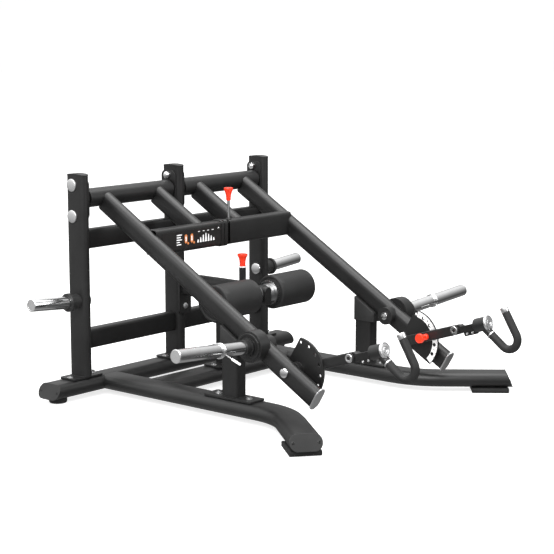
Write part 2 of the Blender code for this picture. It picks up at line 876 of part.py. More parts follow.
# Plate storage: the horn with its disc, spacer, washer and bolt
storageWasher = 0.003
for side, label in sides:
    spacerFace = uprightX + uprightWidth / 2 + gap
    discEnd = spacerLength + storageDiscLength
    rootX = spacerFace + discEnd - sink
    length = (storageTip - rootX) / math.cos(storageTilt)
    spot = at(side * spacerFace, storageForward, storageHeight)
    root = at(side * rootX, storageForward, storageHeight)
    tilted = (0.0, side * (quarterTurn - storageTilt), 0.0)
    profile = [
        (0.0, length),
        (hornRadius - 0.002, length),
        (hornRadius, length - 0.002),
        (hornRadius, -0.004),
        (0.0, -0.004),
    ]
    horn = turned("storage_horn_" + label, profile, tubeFacets, chromePlate, root, tilted)
    discProfile = [
        (0.0, discEnd),
        (storageDiscRadius - 0.002, discEnd),
        (storageDiscRadius, discEnd - 0.002),
        (storageDiscRadius, spacerLength),
        (spacerRadius, spacerLength),
        (spacerRadius, 0.0),
        (0.0, 0.0),
    ]
    weld(horn, turned("storage_disc_" + label, discProfile, tubeFacets, blackPlastic, spot, turnOut[side]))
    inner = at(side * (uprightX - uprightWidth / 2 - gap), storageForward, storageHeight)
    washerProfile = [
        (0.0, storageWasher + 0.008),
        (outerDomeRadius, storageWasher + 0.004),
        (outerDomeRadius, storageWasher),
        (0.030, storageWasher),
        (0.030, 0.0),
        (storageBoltRadius, 0.0),
        (storageBoltRadius, -uprightWidth - 2 * gap - sink),
        (0.0, -uprightWidth - 2 * gap - sink),
    ]
    boltName = "storage_bolt_" + label
    weld(horn, turned(boltName, washerProfile, tubeFacets, blackPlastic, inner, turnOut[-side]))
    smooth(horn.data)

# Rest posts with their base plates, and the saddles on top
armAxes = {}
for side, label in sides:
    pivotSpot = at(side * armAxisX, 0.0, pivotHeight)
    armAxes[side] = makeEmpty(label + "_arm_axis", pivotSpot, (armAngle, 0.0, 0.0))


def saddleHeight(forward):
    underside = pivotHeight - forward * math.tan(armAngle) - (armHeight / 2 + armDrop) / math.cos(armAngle)
    return underside + saddleLip


for side, label in sides:
    x = side * sideBeamX
    restTube = roundedTube(restPostWidth, restPostDepth, 0.010, restPostWall)
    post = uprightPrism(
        "rest_post_" + label, restTube, postBottom, restPostTop - gap, blackCoat, x=x, forward=restForward
    )
    addBasePlate(post, "rest_post_" + label, x, restForward, plateWidth, restPlateLength, restBolts)
    smooth(post.data)
    wedge = [
        (saddleRear, restPostTop),
        (saddleFront, restPostTop),
        (saddleFront, saddleHeight(saddleFront)),
        (saddleRear, saddleHeight(saddleRear)),
    ]
    saddle = acrossPrism("arm_rest_" + label, [wedge], x - saddleHalfWidth, x + saddleHalfWidth, blackPlastic)
    bevelEdges(saddle, 0.003, 2)
    armClear = forwardPrism(
        "arm_clear_" + label,
        [ovalLoop(armWidth, armHeight, saddleGap)],
        0.0,
        armLength,
        None,
        armAxes[side],
        side * (outerArmX - armAxisX),
        -armDrop,
    )
    cut(saddle, armClear)

# Fixed beam of the roller carriage: tube, wall plate with bolts, and the sleeve of the spring pin
rollerBeamTop = rollerBeamMid + rollerBeamHeight / 2
rollerTube = ovalTube(rollerBeamWidth, rollerBeamHeight, rollerBeamWall)
rollerBeam = forwardPrism(
    "roller_beam", rollerTube, rollerPlateEnds[1] - sink, rollerBeamFront, blackCoat, up=rollerBeamMid
)
plateMid = sum(rollerPlateSpan) / 2
plateHeight = rollerPlateSpan[1] - rollerPlateSpan[0]
wallPlate = forwardPrism(
    "roller_wall_plate",
    [roundedLoop(rollerPlateWidth, plateHeight, 0.012, 4)],
    rollerPlateEnds[0],
    rollerPlateEnds[1],
    blackCoat,
    up=plateMid,
)
weld(rollerBeam, wallPlate)
for height in rollerPlateBolts:
    spot = at(0.0, rollerPlateEnds[1] - sink, height)
    name = "wall_bolt_%d" % (height * 1000)
    weld(rollerBeam, bolt(name, (0.0085, 0.008), (baseBoltRadius, 0.022), spot, forwardRotation))
sleeveSpot = at(0.0, rollerPinForward, 0.0)
sleeveProfile = [
    (0.0, rollerSleeveTop),
    (rollerSleeveRadius - 0.001, rollerSleeveTop),
    (rollerSleeveRadius, rollerSleeveTop - 0.001),
    (rollerSleeveRadius, rollerBeamTop - 0.0025),
    (0.0, rollerBeamTop - 0.0025),
]
weld(rollerBeam, turned("roller_sleeve", sleeveProfile, tubeFacets, blackCoat, sleeveSpot, (0, 0, 0)))
pinLow = at(0.0, rollerPinForward, rollerBeamTop - 0.010)
pinHigh = at(0.0, rollerPinForward, rollerSleeveTop + 0.005)
cut(rollerBeam, rodCutter("roller_pin_hole", rollerPinRadius + boreGap, pinLow, pinHigh))
smooth(rollerBeam.data)

# Post under the roller beam, with its base plate and the curved brace
rollerPost = uprightPrism(
    "roller_post",
    roundedTube(rollerPostSize, rollerPostSize, 0.008, rollerPostWall),
    postBottom,
    rollerBeamMid - rollerBeamHeight / 2 + 0.014,
    blackCoat,
    forward=rollerPostForward,
)
rollerShape = [ovalLoop(rollerBeamWidth, rollerBeamHeight, gap)]
cut(rollerPost, forwardPrism("roller_shape", rollerShape, 0.100, 0.400, None, up=rollerBeamMid))
addBasePlate(rollerPost, "roller_post", 0.0, rollerPostForward, uprightPlateLength, plateWidth, uprightBolts)
braceTop = rollerBeamMid - rollerBeamHeight / 2 - 2 * gap
bendTop = braceTop - braceLead
bracePath = [at(0.0, braceForward, braceTop)]
for step in range(7):
    angle = quarterTurn * step / 6
    forward = braceForward + braceBend * (1 - math.cos(angle))
    bracePath.append(at(0.0, forward, bendTop - braceBend * math.sin(angle)))
bracePath.append(at(0.0, rollerPostForward - rollerPostSize / 2 + sink, bendTop - braceBend))
weld(rollerPost, pathTube("roller_brace", bracePath, braceRadius, blackCoat, resolution=2))
smooth(rollerPost.data)

# Sliding carriage with its hub, the axle and the two foam rollers
carriageAxis = makeEmpty("roller_carriage_axis", at(0.0, rollerForward, rollerHeight))
innerWidth = rollerBeamWidth - 2 * rollerBeamWall - 2 * slideGap
innerHeight = rollerBeamHeight - 2 * rollerBeamWall - 2 * slideGap
carriage = forwardPrism(
    "roller_carriage",
    ovalTube(innerWidth, innerHeight, carriageWall),
    carriageRear - rollerForward,
    -rollerHubRadius * 0.5,
    darkCoat,
    carriageAxis,
    up=rollerBeamMid - rollerHeight,
)
hubMesh = cylinderMesh("carriage_hub", rollerHubRadius, 2 * rollerHubHalf, wideFacets)
hub = makeObject("carriage_hub", hubMesh, darkCoat, (0, 0, 0), turnOut[1], carriageAxis)
bevelEdges(hub, 0.002, 1)
weld(carriage, hub)
hubBore = rodCutter(
    "hub_bore", rollerAxleRadius + gap, (-0.07, 0.0, 0.0), (0.07, 0.0, 0.0), carriageAxis, tubeFacets
)
cut(carriage, hubBore)
smooth(carriage.data)

discStart = rollerHubHalf + gap
discEnd = rollerEnds[0] - slideGap
capStart = rollerEnds[1] + slideGap
axleProfile = [
    (0.0, capStart + 0.006),
    (rollerCapRadius, capStart + 0.003),
    (rollerCapRadius, capStart),
    (rollerAxleRadius, capStart),
    (rollerAxleRadius, discEnd),
    (rollerDiscRadius, discEnd),
    (rollerDiscRadius, discStart),
    (rollerAxleRadius, discStart),
]
axleProfile += [(radius, -height) for radius, height in reversed(axleProfile)]
axle = turned("roller_axle", axleProfile, tubeFacets, chromePlate, (0, 0, 0), turnOut[1], carriageAxis)
smooth(axle.data)

for side, label in sides:
    low, high = sorted((side * rollerEnds[0], side * rollerEnds[1]))
    turns = [quarterTurn * step / 2 for step in range(3)]
    rim = rollerRadius - rollerEdge
    bore = rollerAxleRadius + boreGap
    top = high - rollerEdge
    bottom = low + rollerEdge
    profile = [(rim + rollerEdge * math.sin(turn), top + rollerEdge * math.cos(turn)) for turn in turns]
    profile += [(rim + rollerEdge * math.cos(turn), bottom - rollerEdge * math.sin(turn)) for turn in turns]
    profile += [(bore, low), (bore, high)]
    roller = turned(
        "foam_roller_" + label, profile, wideFacets, blackFoam, (0, 0, 0), turnOut[1], carriageAxis, ring=True
    )
    smooth(roller.data)

# Spring pin of the roller carriage: rod, ring and knob
pinFoot = rollerBeamMid + innerHeight / 2 + gap
rollerPin = turned(
    "roller_pull_pin",
    [
        (0.0, rollerKnobTop),
        (0.0200, rollerKnobTop),
        (0.0215, rollerKnobTop - 0.003),
        (0.0190, rollerKnobTop - 0.012),
        (0.0135, rollerKnobTop - 0.024),
        (0.0120, rollerRingTop),
        (0.0135, rollerRingTop),
        (0.0135, rollerSleeveTop + gap),
        (rollerPinRadius, rollerSleeveTop + gap),
        (rollerPinRadius, pinFoot + 0.002),
        (rollerPinRadius - 0.0015, pinFoot),
        (0.0, pinFoot),
    ],
    pinFacets,
    redPlastic,
    at(0.0, rollerPinForward, 0.0),
    (0.0, 0.0, 0.0),
)
smooth(rollerPin.data)


# Centre line of a spring clip: a coil round the horn with two straight handles that stand out from it
def clipPath(side):
    radius = hornRadius + clipWireRadius + clipClearance
    total = int(clipTurns * clipSteps)
    points = []
    for step in range(total + 1):
        angle = clipStart + 2 * halfTurn * step / clipSteps
        along = clipPitch * (step - total / 2) / clipSteps
        points.append(Vector((-side * radius * math.cos(angle), radius * math.sin(angle), along)))
    ends = []
    for point, lean in ((points[0], -clipHandleLean), (points[-1], clipHandleLean)):
        way = Vector((point.x, point.y, 0.0)).normalized() + Vector((0.0, 0.0, lean))
        ends.append(point + way.normalized() * clipHandleLength)
    return [ends[0]] + points + [ends[1]]


# Two proud rings, the end plate and the neck of the left crossbar, and the placard on its front
def addCrossEnd(crossbar, frame):
    pieces = []
    for index, (start, end) in enumerate(ringSpans):
        outline = [
            roundedLoop(crossDepth + 2 * ringProud, crossHeight + 2 * ringProud, crossCorner + ringProud, 4),
            roundedLoop(crossDepth - 2 * sink, crossHeight - 2 * sink, crossCorner - sink, 4),
        ]
        ring = acrossPrism(
            "crossbar_ring_%d" % index, outline, start + armAxisX, end + armAxisX, blackCoat, frame
        )
        pieces.append(ring)
    plate = [roundedLoop(crossDepth - 2 * sink, crossHeight - 2 * sink, crossCorner - sink, 4)]
    end = leftCrossEnd + armAxisX
    pieces.append(acrossPrism("crossbar_end", plate, end - crossEndLength, end - sink, blackCoat, frame))
    neck = [roundedLoop(crossDepth - 2 * neckInset, crossHeight - 2 * neckInset, crossCorner - 0.003, 4)]
    neckStart = end - crossEndLength + sink
    pieces.append(acrossPrism("crossbar_neck", neck, neckStart, neckEnd + armAxisX, blackCoat, frame))
    weld(crossbar, *pieces)
    start, end = placardSpan
    face = [roundedLoop(placardThickness, placardHeight, placardThickness * 0.25, 1)]
    acrossPrism(
        "placard",
        face,
        start + armAxisX,
        end + armAxisX,
        placardFace,
        frame,
        crossDepth / 2 + gap + placardThickness / 2,
    )


# Crossbar from the outer arm to the middle of the machine, upright in the lowered arm,
# and on the right one the lock pin
def buildCrossbar(side, label, axis, armShape):
    outerX = side * (outerArmX - armAxisX)
    root = outerX - side * crossRootDepth
    frame = makeEmpty(label + "_crossbar_axis", at(0.0, crossForward, -armDrop), (-armAngle, 0.0, 0.0), axis)
    tube = roundedTube(crossDepth, crossHeight, crossCorner, crossWall, 4)
    end = leftCrossEnd if side < 0 else rightCrossStart
    crossbar = acrossPrism(label + "_crossbar", tube, end - side * armAxisX, root, blackCoat, frame)
    cut(crossbar, armShape)
    if side < 0:
        addCrossEnd(crossbar, frame)
        smooth(crossbar.data)
        return frame
    top = crossHeight / 2
    pinX = lockPinX - armAxisX
    holeTop = (pinX, 0.0, top + 0.02)
    cut(crossbar, rodCutter("lock_pin_hole", lockPinRadius + boreGap, (pinX, 0.0, 0.0), holeTop, frame))
    smooth(crossbar.data)
    pinAxis = makeEmpty("lock_pin_axis", (pinX, 0.0, top), (0.0, 0.0, 0.0), frame)
    knobTop = lockPinRise + knobLength
    profile = [
        (0.0, knobTop),
        (lockKnobRadius - 0.002, knobTop),
        (lockKnobRadius, knobTop - 0.003),
        (lockKnobRadius * 0.9, knobTop - 0.013),
        (lockNeckRadius * 1.12, knobTop - 0.030),
        (lockNeckRadius, lockPinRise + 0.002),
        (lockNeckRadius - 0.002, lockPinRise),
        (lockPinRadius, lockPinRise),
        (lockPinRadius, -lockPinDepth + 0.002),
        (lockPinRadius - 0.002, -lockPinDepth),
        (0.0, -lockPinDepth),
    ]
    pin = turned("lock_pin", profile, pinFacets, redPlastic, (0, 0, 0), (0, 0, 0), pinAxis)
    smooth(pin.data)
    return frame


# Index plate with its row of holes and the boss behind it
def buildIndexPlate(side, label, axis, lean):
    startAngle = math.asin(-indexLowerCut / indexRadius)
    endAngle = math.acos(-indexRearCut / indexRadius)
    outline = []
    for step in range(21):
        angle = startAngle + (endAngle - startAngle) * step / 20
        outline.append((indexRadius * math.cos(angle), indexRadius * math.sin(angle)))
    for step in range(4):
        angle = halfTurn + quarterTurn * step / 3
        across = indexCorner * (1 + math.cos(angle)) - indexRearCut
        up = indexCorner * (1 + math.sin(angle)) - indexLowerCut
        outline.append((across, up))
    holes = []
    for number in range(holeFirst, holeLast + 1):
        angle = lean + number * holeStep
        spot = (indexHoleCircle * math.cos(angle), indexHoleCircle * math.sin(angle))
        holes.append(holeLoop(indexHoleRadius, boltFacets, spot))
    start = side * (indexInner - armAxisX)
    end = start + side * indexThickness
    plate = acrossPrism(
        label + "_index_plate", [outline] + holes, start, end, blackCoat, axis, indexForward
    )
    bossLength = outerArmX - armWidth / 2 - gap - indexInner - indexThickness
    bossMesh = cylinderMesh(label + "_index_boss", pivotBossRadius, bossLength + sink, tubeFacets)
    bossSpot = (end + side * (bossLength - sink) / 2, -indexForward, 0.0)
    weld(plate, makeObject(label + "_index_boss", bossMesh, blackCoat, bossSpot, turnOut[1], axis))
    boreStart = (start - side * 0.01, -indexForward, 0.0)
    boreEnd = (end + side * 0.03, -indexForward, 0.0)
    bore = handlePivotRadius + boreGap
    cut(plate, rodCutter(label + "_boss_bore", bore, boreStart, boreEnd, axis, pinFacets))
    smooth(plate.data)


# Horn for the weight plates, and the spring clip on it
def buildHorn(side, label, axis, rootX):
    tilted = (0.0, side * (quarterTurn - hornTilt), 0.0)
    spot = (side * (rootX - armAxisX), -hubForward, drumRise)
    hornAxis = makeEmpty(label + "_horn_axis", spot, tilted, axis)
    root = hornRadius * math.sin(hornTilt) + gap
    length = (hornTip - rootX) / math.cos(hornTilt)
    bore = hornRadius - hornWall
    profile = [
        (0.0, length),
        (hornRadius - 0.002, length),
        (hornRadius, length - 0.002),
        (hornRadius, root),
        (bore, root),
        (bore, length - 0.004),
        (0.0, length - 0.004),
    ]
    horn = turned(label + "_weight_horn", profile, tubeFacets, chromePlate, (0, 0, 0), (0, 0, 0), hornAxis)
    smooth(horn.data)
    along = (clipMidX[side] - rootX) / math.cos(hornTilt)
    clipAxis = makeEmpty(label + "_clip_axis", (0.0, 0.0, along), (0.0, 0.0, 0.0), hornAxis)
    clip = pathTube(label + "_spring_clip", clipPath(side), clipWireRadius, chromePlate, clipAxis, 1)
    smooth(clip.data)


# One arm with its hub, horn, index plate and handle
def buildArm(side, label):
    axis = armAxes[side]
    outerX = side * (outerArmX - armAxisX)
    innerX = side * (innerArmX - armAxisX)
    low, high = sorted((side * pivotTubeEnds[0], side * pivotTubeEnds[1]))
    profile = ringProfile(
        pivotTubeRadius, pivotTubeRadius - pivotTubeWall, low - side * armAxisX, high - side * armAxisX, 0.001
    )
    pivotTube = turned(
        label + "_pivot_tube", profile, tubeFacets, blackCoat, (0, 0, 0), turnOut[1], axis, ring=True
    )
    outer = pivotTubeRadius - pivotTubeWall + sink
    bore = shaftRadius + boreGap
    bearings = (("inner", pivotTubeEnds[0] + 0.002), ("outer", pivotTubeEnds[1] - bearingWidth - 0.002))
    for spot, start in bearings:
        low, high = sorted((side * (start - armAxisX), side * (start + bearingWidth - armAxisX)))
        bearing = turned(
            "%s_%s_bearing" % (label, spot),
            [(outer, high), (outer, low), (bore, low), (bore, high)],
            tubeFacets,
            blackCoat,
            (0, 0, 0),
            turnOut[1],
            axis,
            ring=True,
        )
        weld(pivotTube, bearing)
    smooth(pivotTube.data)
    start = (-0.3, 0.0, 0.0)
    end = (0.3, 0.0, 0.0)
    tubeCutter = rodCutter(label + "_pivot_cutter", pivotTubeRadius + gap, start, end, axis, tubeFacets)

    armTube = ovalTube(armWidth, armHeight, armWall)
    outerArm = forwardPrism(
        label + "_outer_arm", armTube, armStart, armLength, blackCoat, axis, outerX, -armDrop
    )
    cut(outerArm, tubeCutter)
    innerArm = forwardPrism(
        label + "_inner_arm", armTube, armStart, crossForward, blackCoat, axis, innerX, -armDrop
    )
    cut(innerArm, tubeCutter)
    armShape = forwardPrism(
        label + "_arm_shape", [ovalLoop(armWidth, armHeight, gap)], 0.0, 0.6, None, axis, outerX, -armDrop
    )
    frame = buildCrossbar(side, label, axis, armShape)
    crossShape = [roundedLoop(crossDepth + 2 * gap, crossHeight + 2 * gap, crossCorner + gap, 4)]
    cut(innerArm, acrossPrism(label + "_cross_shape", crossShape, innerX - 0.05, innerX + 0.05, None, frame))
    smooth(innerArm.data)

    # Hub: the drum on the outer side, the boss on the inner side and the tilted collars of the horn
    drum = turned(
        label + "_hub_drum",
        [
            (0.0, drumEnd),
            (drumRimRadius, drumEnd),
            (drumRimRadius, drumEnd - drumRimLength),
            (drumRadius, drumEnd - drumRimLength),
            (drumRadius, drumStart),
            (0.0, drumStart),
        ],
        wideFacets,
        blackCoat,
        (outerX, -hubForward, drumRise),
        turnOut[side],
        axis,
    )
    inner = -(armWidth / 2 + hubBossReach)
    boss = turned(
        label + "_hub_boss",
        [
            (0.0, drumStart + 0.006),
            (hubBossRadius, drumStart + 0.006),
            (hubBossRadius, inner),
            (hornBoltRadius, inner),
            (hornBoltRadius, inner - hornBoltHeight),
            (0.0, inner - hornBoltHeight),
        ],
        wideFacets,
        blackCoat,
        (outerX, -hubForward, -armDrop),
        turnOut[side],
        axis,
    )
    rootX = outerArmX + drumEnd
    tilted = (0.0, side * (quarterTurn - hornTilt), 0.0)
    bore = hornRadius + boreGap
    collarProfile = [
        (hornCollarRadius, hornCollarLength),
        (hornCollarRadius, hubCollarLength),
        (hubCollarRadius, hubCollarLength),
        (hubCollarRadius, -0.008),
        (bore, -0.008),
        (bore, hornCollarLength),
    ]
    collarSpot = (side * (rootX - armAxisX), -hubForward, drumRise)
    collar = turned(
        label + "_hub_collar", collarProfile, tubeFacets, blackCoat, collarSpot, tilted, axis, ring=True
    )
    weld(outerArm, boss, drum, collar)
    pivotStart = (outerX - 0.04, -indexForward, 0.0)
    pivotEnd = (outerX + 0.04, -indexForward, 0.0)
    cut(outerArm, rodCutter(label + "_pivot_hole", handlePivotRadius + boreGap, pivotStart, pivotEnd, axis))
    smooth(outerArm.data)
    buildHorn(side, label, axis, rootX)

    # Chrome cap with a plug in the open end of the arm
    capShape = [ovalLoop(armWidth + armCapProud[0], armHeight + armCapProud[1])]
    capMesh = prismMesh(label + "_arm_cap", capShape, armCapThickness)
    capSpot = (outerX, -(armLength + gap + armCapThickness / 2), -armDrop)
    cap = makeObject(label + "_arm_cap", capMesh, chromePlate, capSpot, forwardRotation, axis)
    bevelEdges(cap, 0.0025, 1, 60.0)
    plugShape = [ovalLoop(armWidth - 2 * armWall, armHeight - 2 * armWall, -boreGap)]
    plugEnd = armLength + gap + sink
    plug = forwardPrism(
        label + "_arm_plug", plugShape, plugEnd - 0.016, plugEnd, chromePlate, axis, outerX, -armDrop
    )
    weld(cap, plug)
    smooth(cap.data)

    lean = armAngle + leverRest
    buildIndexPlate(side, label, axis, lean)
    buildHandle(side, label, axis, lean)


def acrossHole(name, radius, forward, parent):
    return rodCutter(name, radius, (-0.05, -forward, 0.0), (0.05, -forward, 0.0), parent)


def halfCircle(radius, middle, startAngle):
    angles = [startAngle + halfTurn * step / 8 for step in range(9)]
    return [(middle + radius * math.cos(angle), radius * math.sin(angle)) for angle in angles]


# Lever with its pivot, washer and the collar of the index pin
def buildLever(side, label, holder):
    half = leverSize / 2
    outline = halfCircle(half, yokeReach, -quarterTurn) + halfCircle(half, 0.0, quarterTurn)
    section = [roundedLoop(leverSize, leverSize, leverCorner, 2)]
    lever = forwardPrism(label + "_lever", section, -leverSize, yokeReach + leverSize, blackCoat, holder)
    shape = acrossPrism(label + "_lever_outline", [outline], -leverSize, leverSize, None, holder)
    combine(lever, shape, "INTERSECT")
    space = leverSize - 2 * leverWall
    cavitySpot = (0.0, -(leverCavityStart + yokeReach / 2), 0.0)
    slotSpot = (0.0, -(yokeReach - forkDepth / 2 + 0.040), 0.0)
    washerEnd = indexInner - gap - leverX
    capFace = outerArmX + armWidth / 2 + gap - leverX
    pivotProfile = [
        (0.0, capFace + 0.012),
        (handlePivotCapRadius, capFace + 0.009),
        (handlePivotCapRadius, capFace),
        (handlePivotRadius, capFace),
        (handlePivotRadius, washerEnd),
        (handleWasherRadius, washerEnd),
        (handleWasherRadius, half - sink),
        (0.0, half - sink),
    ]
    pivot = turned(
        label + "_lever_pivot", pivotProfile, pinFacets, chromePlate, (0, 0, 0), turnOut[side], holder
    )
    collarMesh = cylinderMesh(label + "_pin_collar", indexCollarRadius, indexCollarLength + sink, pinFacets)
    collarSpot = (-side * (half + (indexCollarLength - sink) / 2), -indexHoleCircle, 0.0)
    collar = makeObject(label + "_pin_collar", collarMesh, blackCoat, collarSpot, turnOut[1], holder)
    weld(lever, pivot, collar)
    cut(
        lever,
        boxCutter(label + "_lever_cavity", (space, yokeReach, space), cavitySpot, holder),
        boxCutter(label + "_lever_slot", (space, 0.080, 0.060), slotSpot, holder),
        acrossHole(label + "_lever_pin_hole", indexPinRadius + boreGap, indexHoleCircle, holder),
        acrossHole(label + "_lever_yoke_hole", yokeBoltRadius + boreGap, yokeReach, holder),
    )
    smooth(lever.data)


# Sprung index pin, whose tip stops just short of the plate
def buildIndexPin(side, label, holder):
    tip = indexInner - gap - leverX
    start = leverSize / 2 + indexCollarLength + gap
    end = start + indexKnobLength
    headStart = end - indexHeadLength
    profile = [
        (0.0, end),
        (indexHeadRadius - 0.003, end),
        (indexHeadRadius, end - 0.004),
        (indexHeadRadius, headStart + 0.003),
        (indexNeckRadius, headStart - 0.003),
        (indexNeckRadius, start + indexDiscLength),
        (indexDiscRadius, start + indexDiscLength - 0.001),
        (indexDiscRadius, start + 0.001),
        (indexDiscRadius - 0.001, start),
        (indexPinRadius, start),
        (indexPinRadius, -tip + 0.0015),
        (indexPinRadius - 0.0015, -tip),
        (0.0, -tip),
    ]
    spot = (0.0, -indexHoleCircle, 0.0)
    pin = turned(label + "_index_pin", profile, pinFacets, redPlastic, spot, turnOut[-side], holder)
    smooth(pin.data)


# Yoke: a tongue between the cheeks of the lever, its bolt, and a block with a spindle
def buildYoke(side, label, yokeAxis):
    half = leverSize / 2
    tongueHalf = half - leverWall - slideGap / 2
    tongueRadius = half - 0.002
    start = yokeBlockStart - yokeReach
    end = yokeBlockEnd - yokeReach
    outline = halfCircle(tongueRadius, 0.0, quarterTurn)
    outline += [(start - yokeShoulder, -tongueRadius), (start + yokeShoulder, -yokeBlockBottom)]
    outline += [(end, -yokeBlockBottom), (end, yokeBlockTop)]
    outline += [(start + yokeShoulder, yokeBlockTop), (start - yokeShoulder, tongueRadius)]
    yoke = acrossPrism(label + "_yoke", [outline], -tongueHalf, tongueHalf, blackCoat, yokeAxis)
    bevelEdges(yoke, 0.002, 1, 40.0)
    spindleLength = barrelEnds[1] - yokeBlockEnd - slideGap + sink
    spindleSpot = (0.0, -(yokeBlockEnd - sink + spindleLength / 2 - yokeReach), 0.0)
    spindleMesh = cylinderMesh(label + "_spindle", spindleRadius, spindleLength, tubeFacets)
    spindle = makeObject(label + "_spindle", spindleMesh, blackCoat, spindleSpot, forwardRotation, yokeAxis)
    capFace = half + gap
    bore = [
        (0.0, capFace + 0.006),
        (yokeCapRadius, capFace + 0.004),
        (yokeCapRadius, capFace),
        (yokeBoltRadius, capFace),
    ]
    bore += [(radius, -height) for radius, height in reversed(bore)]
    yokeBolt = turned(label + "_yoke_bolt", bore, pinFacets, chromePlate, (0, 0, 0), turnOut[1], yokeAxis)
    weld(yoke, spindle, yokeBolt)
    smooth(yoke.data)


# Centre line of the bent grip, from the axis of the barrel to the open end
def gripPath():
    corner = (gripLegLength * math.cos(gripDrop), gripLegLength * math.sin(gripDrop))
    across = corner[0] - gripBendRadius * math.sin(gripDrop)
    up = corner[1] + gripBendRadius * math.cos(gripDrop)
    points = []
    for step in range(gripBendSteps + 1):
        angle = gripDrop - quarterTurn + gripTurn * step / gripBendSteps
        spot = (across + gripBendRadius * math.cos(angle), up + gripBendRadius * math.sin(angle))
        points.append(at(0.0, *spot))
    final = gripDrop + gripTurn
    points.append(points[-1] + at(0.0, math.cos(final), math.sin(final)) * gripRiseLength)
    return points


# Grip: the swivel barrel with its cap, the bent bar with two rings, and the rubber sleeve
def buildGrip(label, axis):
    low = barrelEnds[0] - gripRoot
    high = barrelEnds[1] - gripRoot
    capEnd = high + barrelCapLength
    profile = [
        (0.0, capEnd),
        (barrelCapRadius - 0.003, capEnd),
        (barrelCapRadius, capEnd - 0.003),
        (barrelCapRadius, high),
        (barrelRadius, high),
        (barrelRadius, low),
        (0.0, low),
    ]
    grip = turned(label + "_grip_bar", profile, tubeFacets, blackCoat, (0, 0, 0), forwardRotation, axis)
    legWay = Vector((0.0, -math.cos(gripDrop), math.sin(gripDrop)))
    stubMesh = cylinderMesh(label + "_grip_stub", gripStubRadius, gripRingPlace, pinFacets)
    stubSpot = legWay * gripRingPlace / 2
    stub = makeObject(label + "_grip_stub", stubMesh, blackCoat, stubSpot, axisRotation(legWay), axis)
    path = gripPath()
    riseWay = (path[-1] - path[-2]).normalized()
    core = pathTube(label + "_grip_core", [legWay * 0.030] + path, gripCoreRadius, chromePlate, axis, 1)
    ringEnd = gripRingPlace + gripRingLength
    ringMesh = cylinderMesh(label + "_grip_ring", gripStubRadius + 0.001, gripRingLength, pinFacets)
    ringSpot = legWay * (gripRingPlace + gripRingLength / 2 - sink / 2)
    ring = makeObject(label + "_grip_ring", ringMesh, chromePlate, ringSpot, axisRotation(legWay), axis)
    endProfile = [
        (0.0, 0.0055),
        (gripFoamRadius - 0.002, 0.0055),
        (gripFoamRadius, 0.0035),
        (gripFoamRadius, -gripEndLength),
        (0.0, -gripEndLength),
    ]
    endTurn = axisRotation(riseWay)
    end = turned(label + "_grip_end", endProfile, pinFacets, chromePlate, path[-1], endTurn, axis)
    weld(grip, stub, core, ring, end)
    boreStart = (0.0, -low + 0.01, 0.0)
    boreEnd = (0.0, -high, 0.0)
    bore = spindleRadius + boreGap
    cut(grip, rodCutter(label + "_barrel_bore", bore, boreStart, boreEnd, axis, tubeFacets))
    smooth(grip.data)

    sleeveStart = legWay * (ringEnd + gap)
    sleeveEnd = path[-1] - riseWay * (gripEndLength + gap)
    sleevePath = [sleeveStart] + path[:-1] + [sleeveEnd]
    sleeve = pathTube(label + "_grip_sleeve", sleevePath, gripFoamRadius, blackRubber, axis, 1, False)
    wall = sleeve.modifiers.new("wall", "SOLIDIFY")
    wall.thickness = gripFoamRadius - gripCoreRadius - boreGap
    wall.offset = -1.0
    smooth(sleeve.data)


# Handle on the index plate. Forward runs along the lever.
def buildHandle(side, label, axis, lean):
    spot = (side * (leverX - armAxisX), -indexForward, 0.0)
    holder = makeEmpty(label + "_lever_axis", spot, (-lean, 0.0, 0.0), axis)
    buildLever(side, label, holder)
    buildIndexPin(side, label, holder)
    yokeAxis = makeEmpty(label + "_yoke_axis", (0.0, -yokeReach, 0.0), (0, 0, 0), holder)
    buildYoke(side, label, yokeAxis)
    gripAxis = makeEmpty(label + "_grip_axis", (0.0, -(gripRoot - yokeReach), 0.0), (0, 0, 0), yokeAxis)
    buildGrip(label, gripAxis)


for side, label in sides:
    buildArm(side, label)
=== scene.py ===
import math

import bmesh
import bpy
from mathutils import Matrix, Vector


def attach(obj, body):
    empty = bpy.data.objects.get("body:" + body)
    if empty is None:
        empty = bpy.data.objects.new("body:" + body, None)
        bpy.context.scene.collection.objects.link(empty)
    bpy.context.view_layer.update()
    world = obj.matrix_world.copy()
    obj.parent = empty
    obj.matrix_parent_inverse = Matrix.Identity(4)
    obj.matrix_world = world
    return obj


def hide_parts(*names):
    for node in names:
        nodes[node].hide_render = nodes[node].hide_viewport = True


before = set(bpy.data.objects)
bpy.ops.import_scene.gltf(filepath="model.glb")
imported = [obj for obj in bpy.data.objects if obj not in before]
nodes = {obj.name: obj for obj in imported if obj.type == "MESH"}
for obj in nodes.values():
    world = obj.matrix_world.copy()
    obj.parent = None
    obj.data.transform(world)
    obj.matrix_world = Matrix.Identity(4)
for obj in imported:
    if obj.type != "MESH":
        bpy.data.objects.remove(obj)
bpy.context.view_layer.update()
scene = bpy.context.scene
print("frame loaded with", len(nodes), "nodes")

sides = ((-1, "left"), (1, "right"))
quarterTurn = math.pi / 2
fullTurn = 2 * math.pi


# One value in a material. Sums on it become Math nodes.
class Wire:
    def __init__(self, finish, socket):
        self.finish = finish
        self.socket = socket

    def sum(self, operation, first, second=None):
        inputs = {0: first} if second is None else {0: first, 1: second}
        return self.finish.node("ShaderNodeMath", {"operation": operation}, inputs)

    def __add__(self, other):
        return self.sum("ADD", self, other)

    __radd__ = __add__

    def __mul__(self, other):
        return self.sum("MULTIPLY", self, other)

    __rmul__ = __mul__

    def __sub__(self, other):
        return self.sum("SUBTRACT", self, other)

    def __rsub__(self, other):
        return self.sum("SUBTRACT", other, self)

    def above(self, limit):
        return self.sum("GREATER_THAN", self, limit)


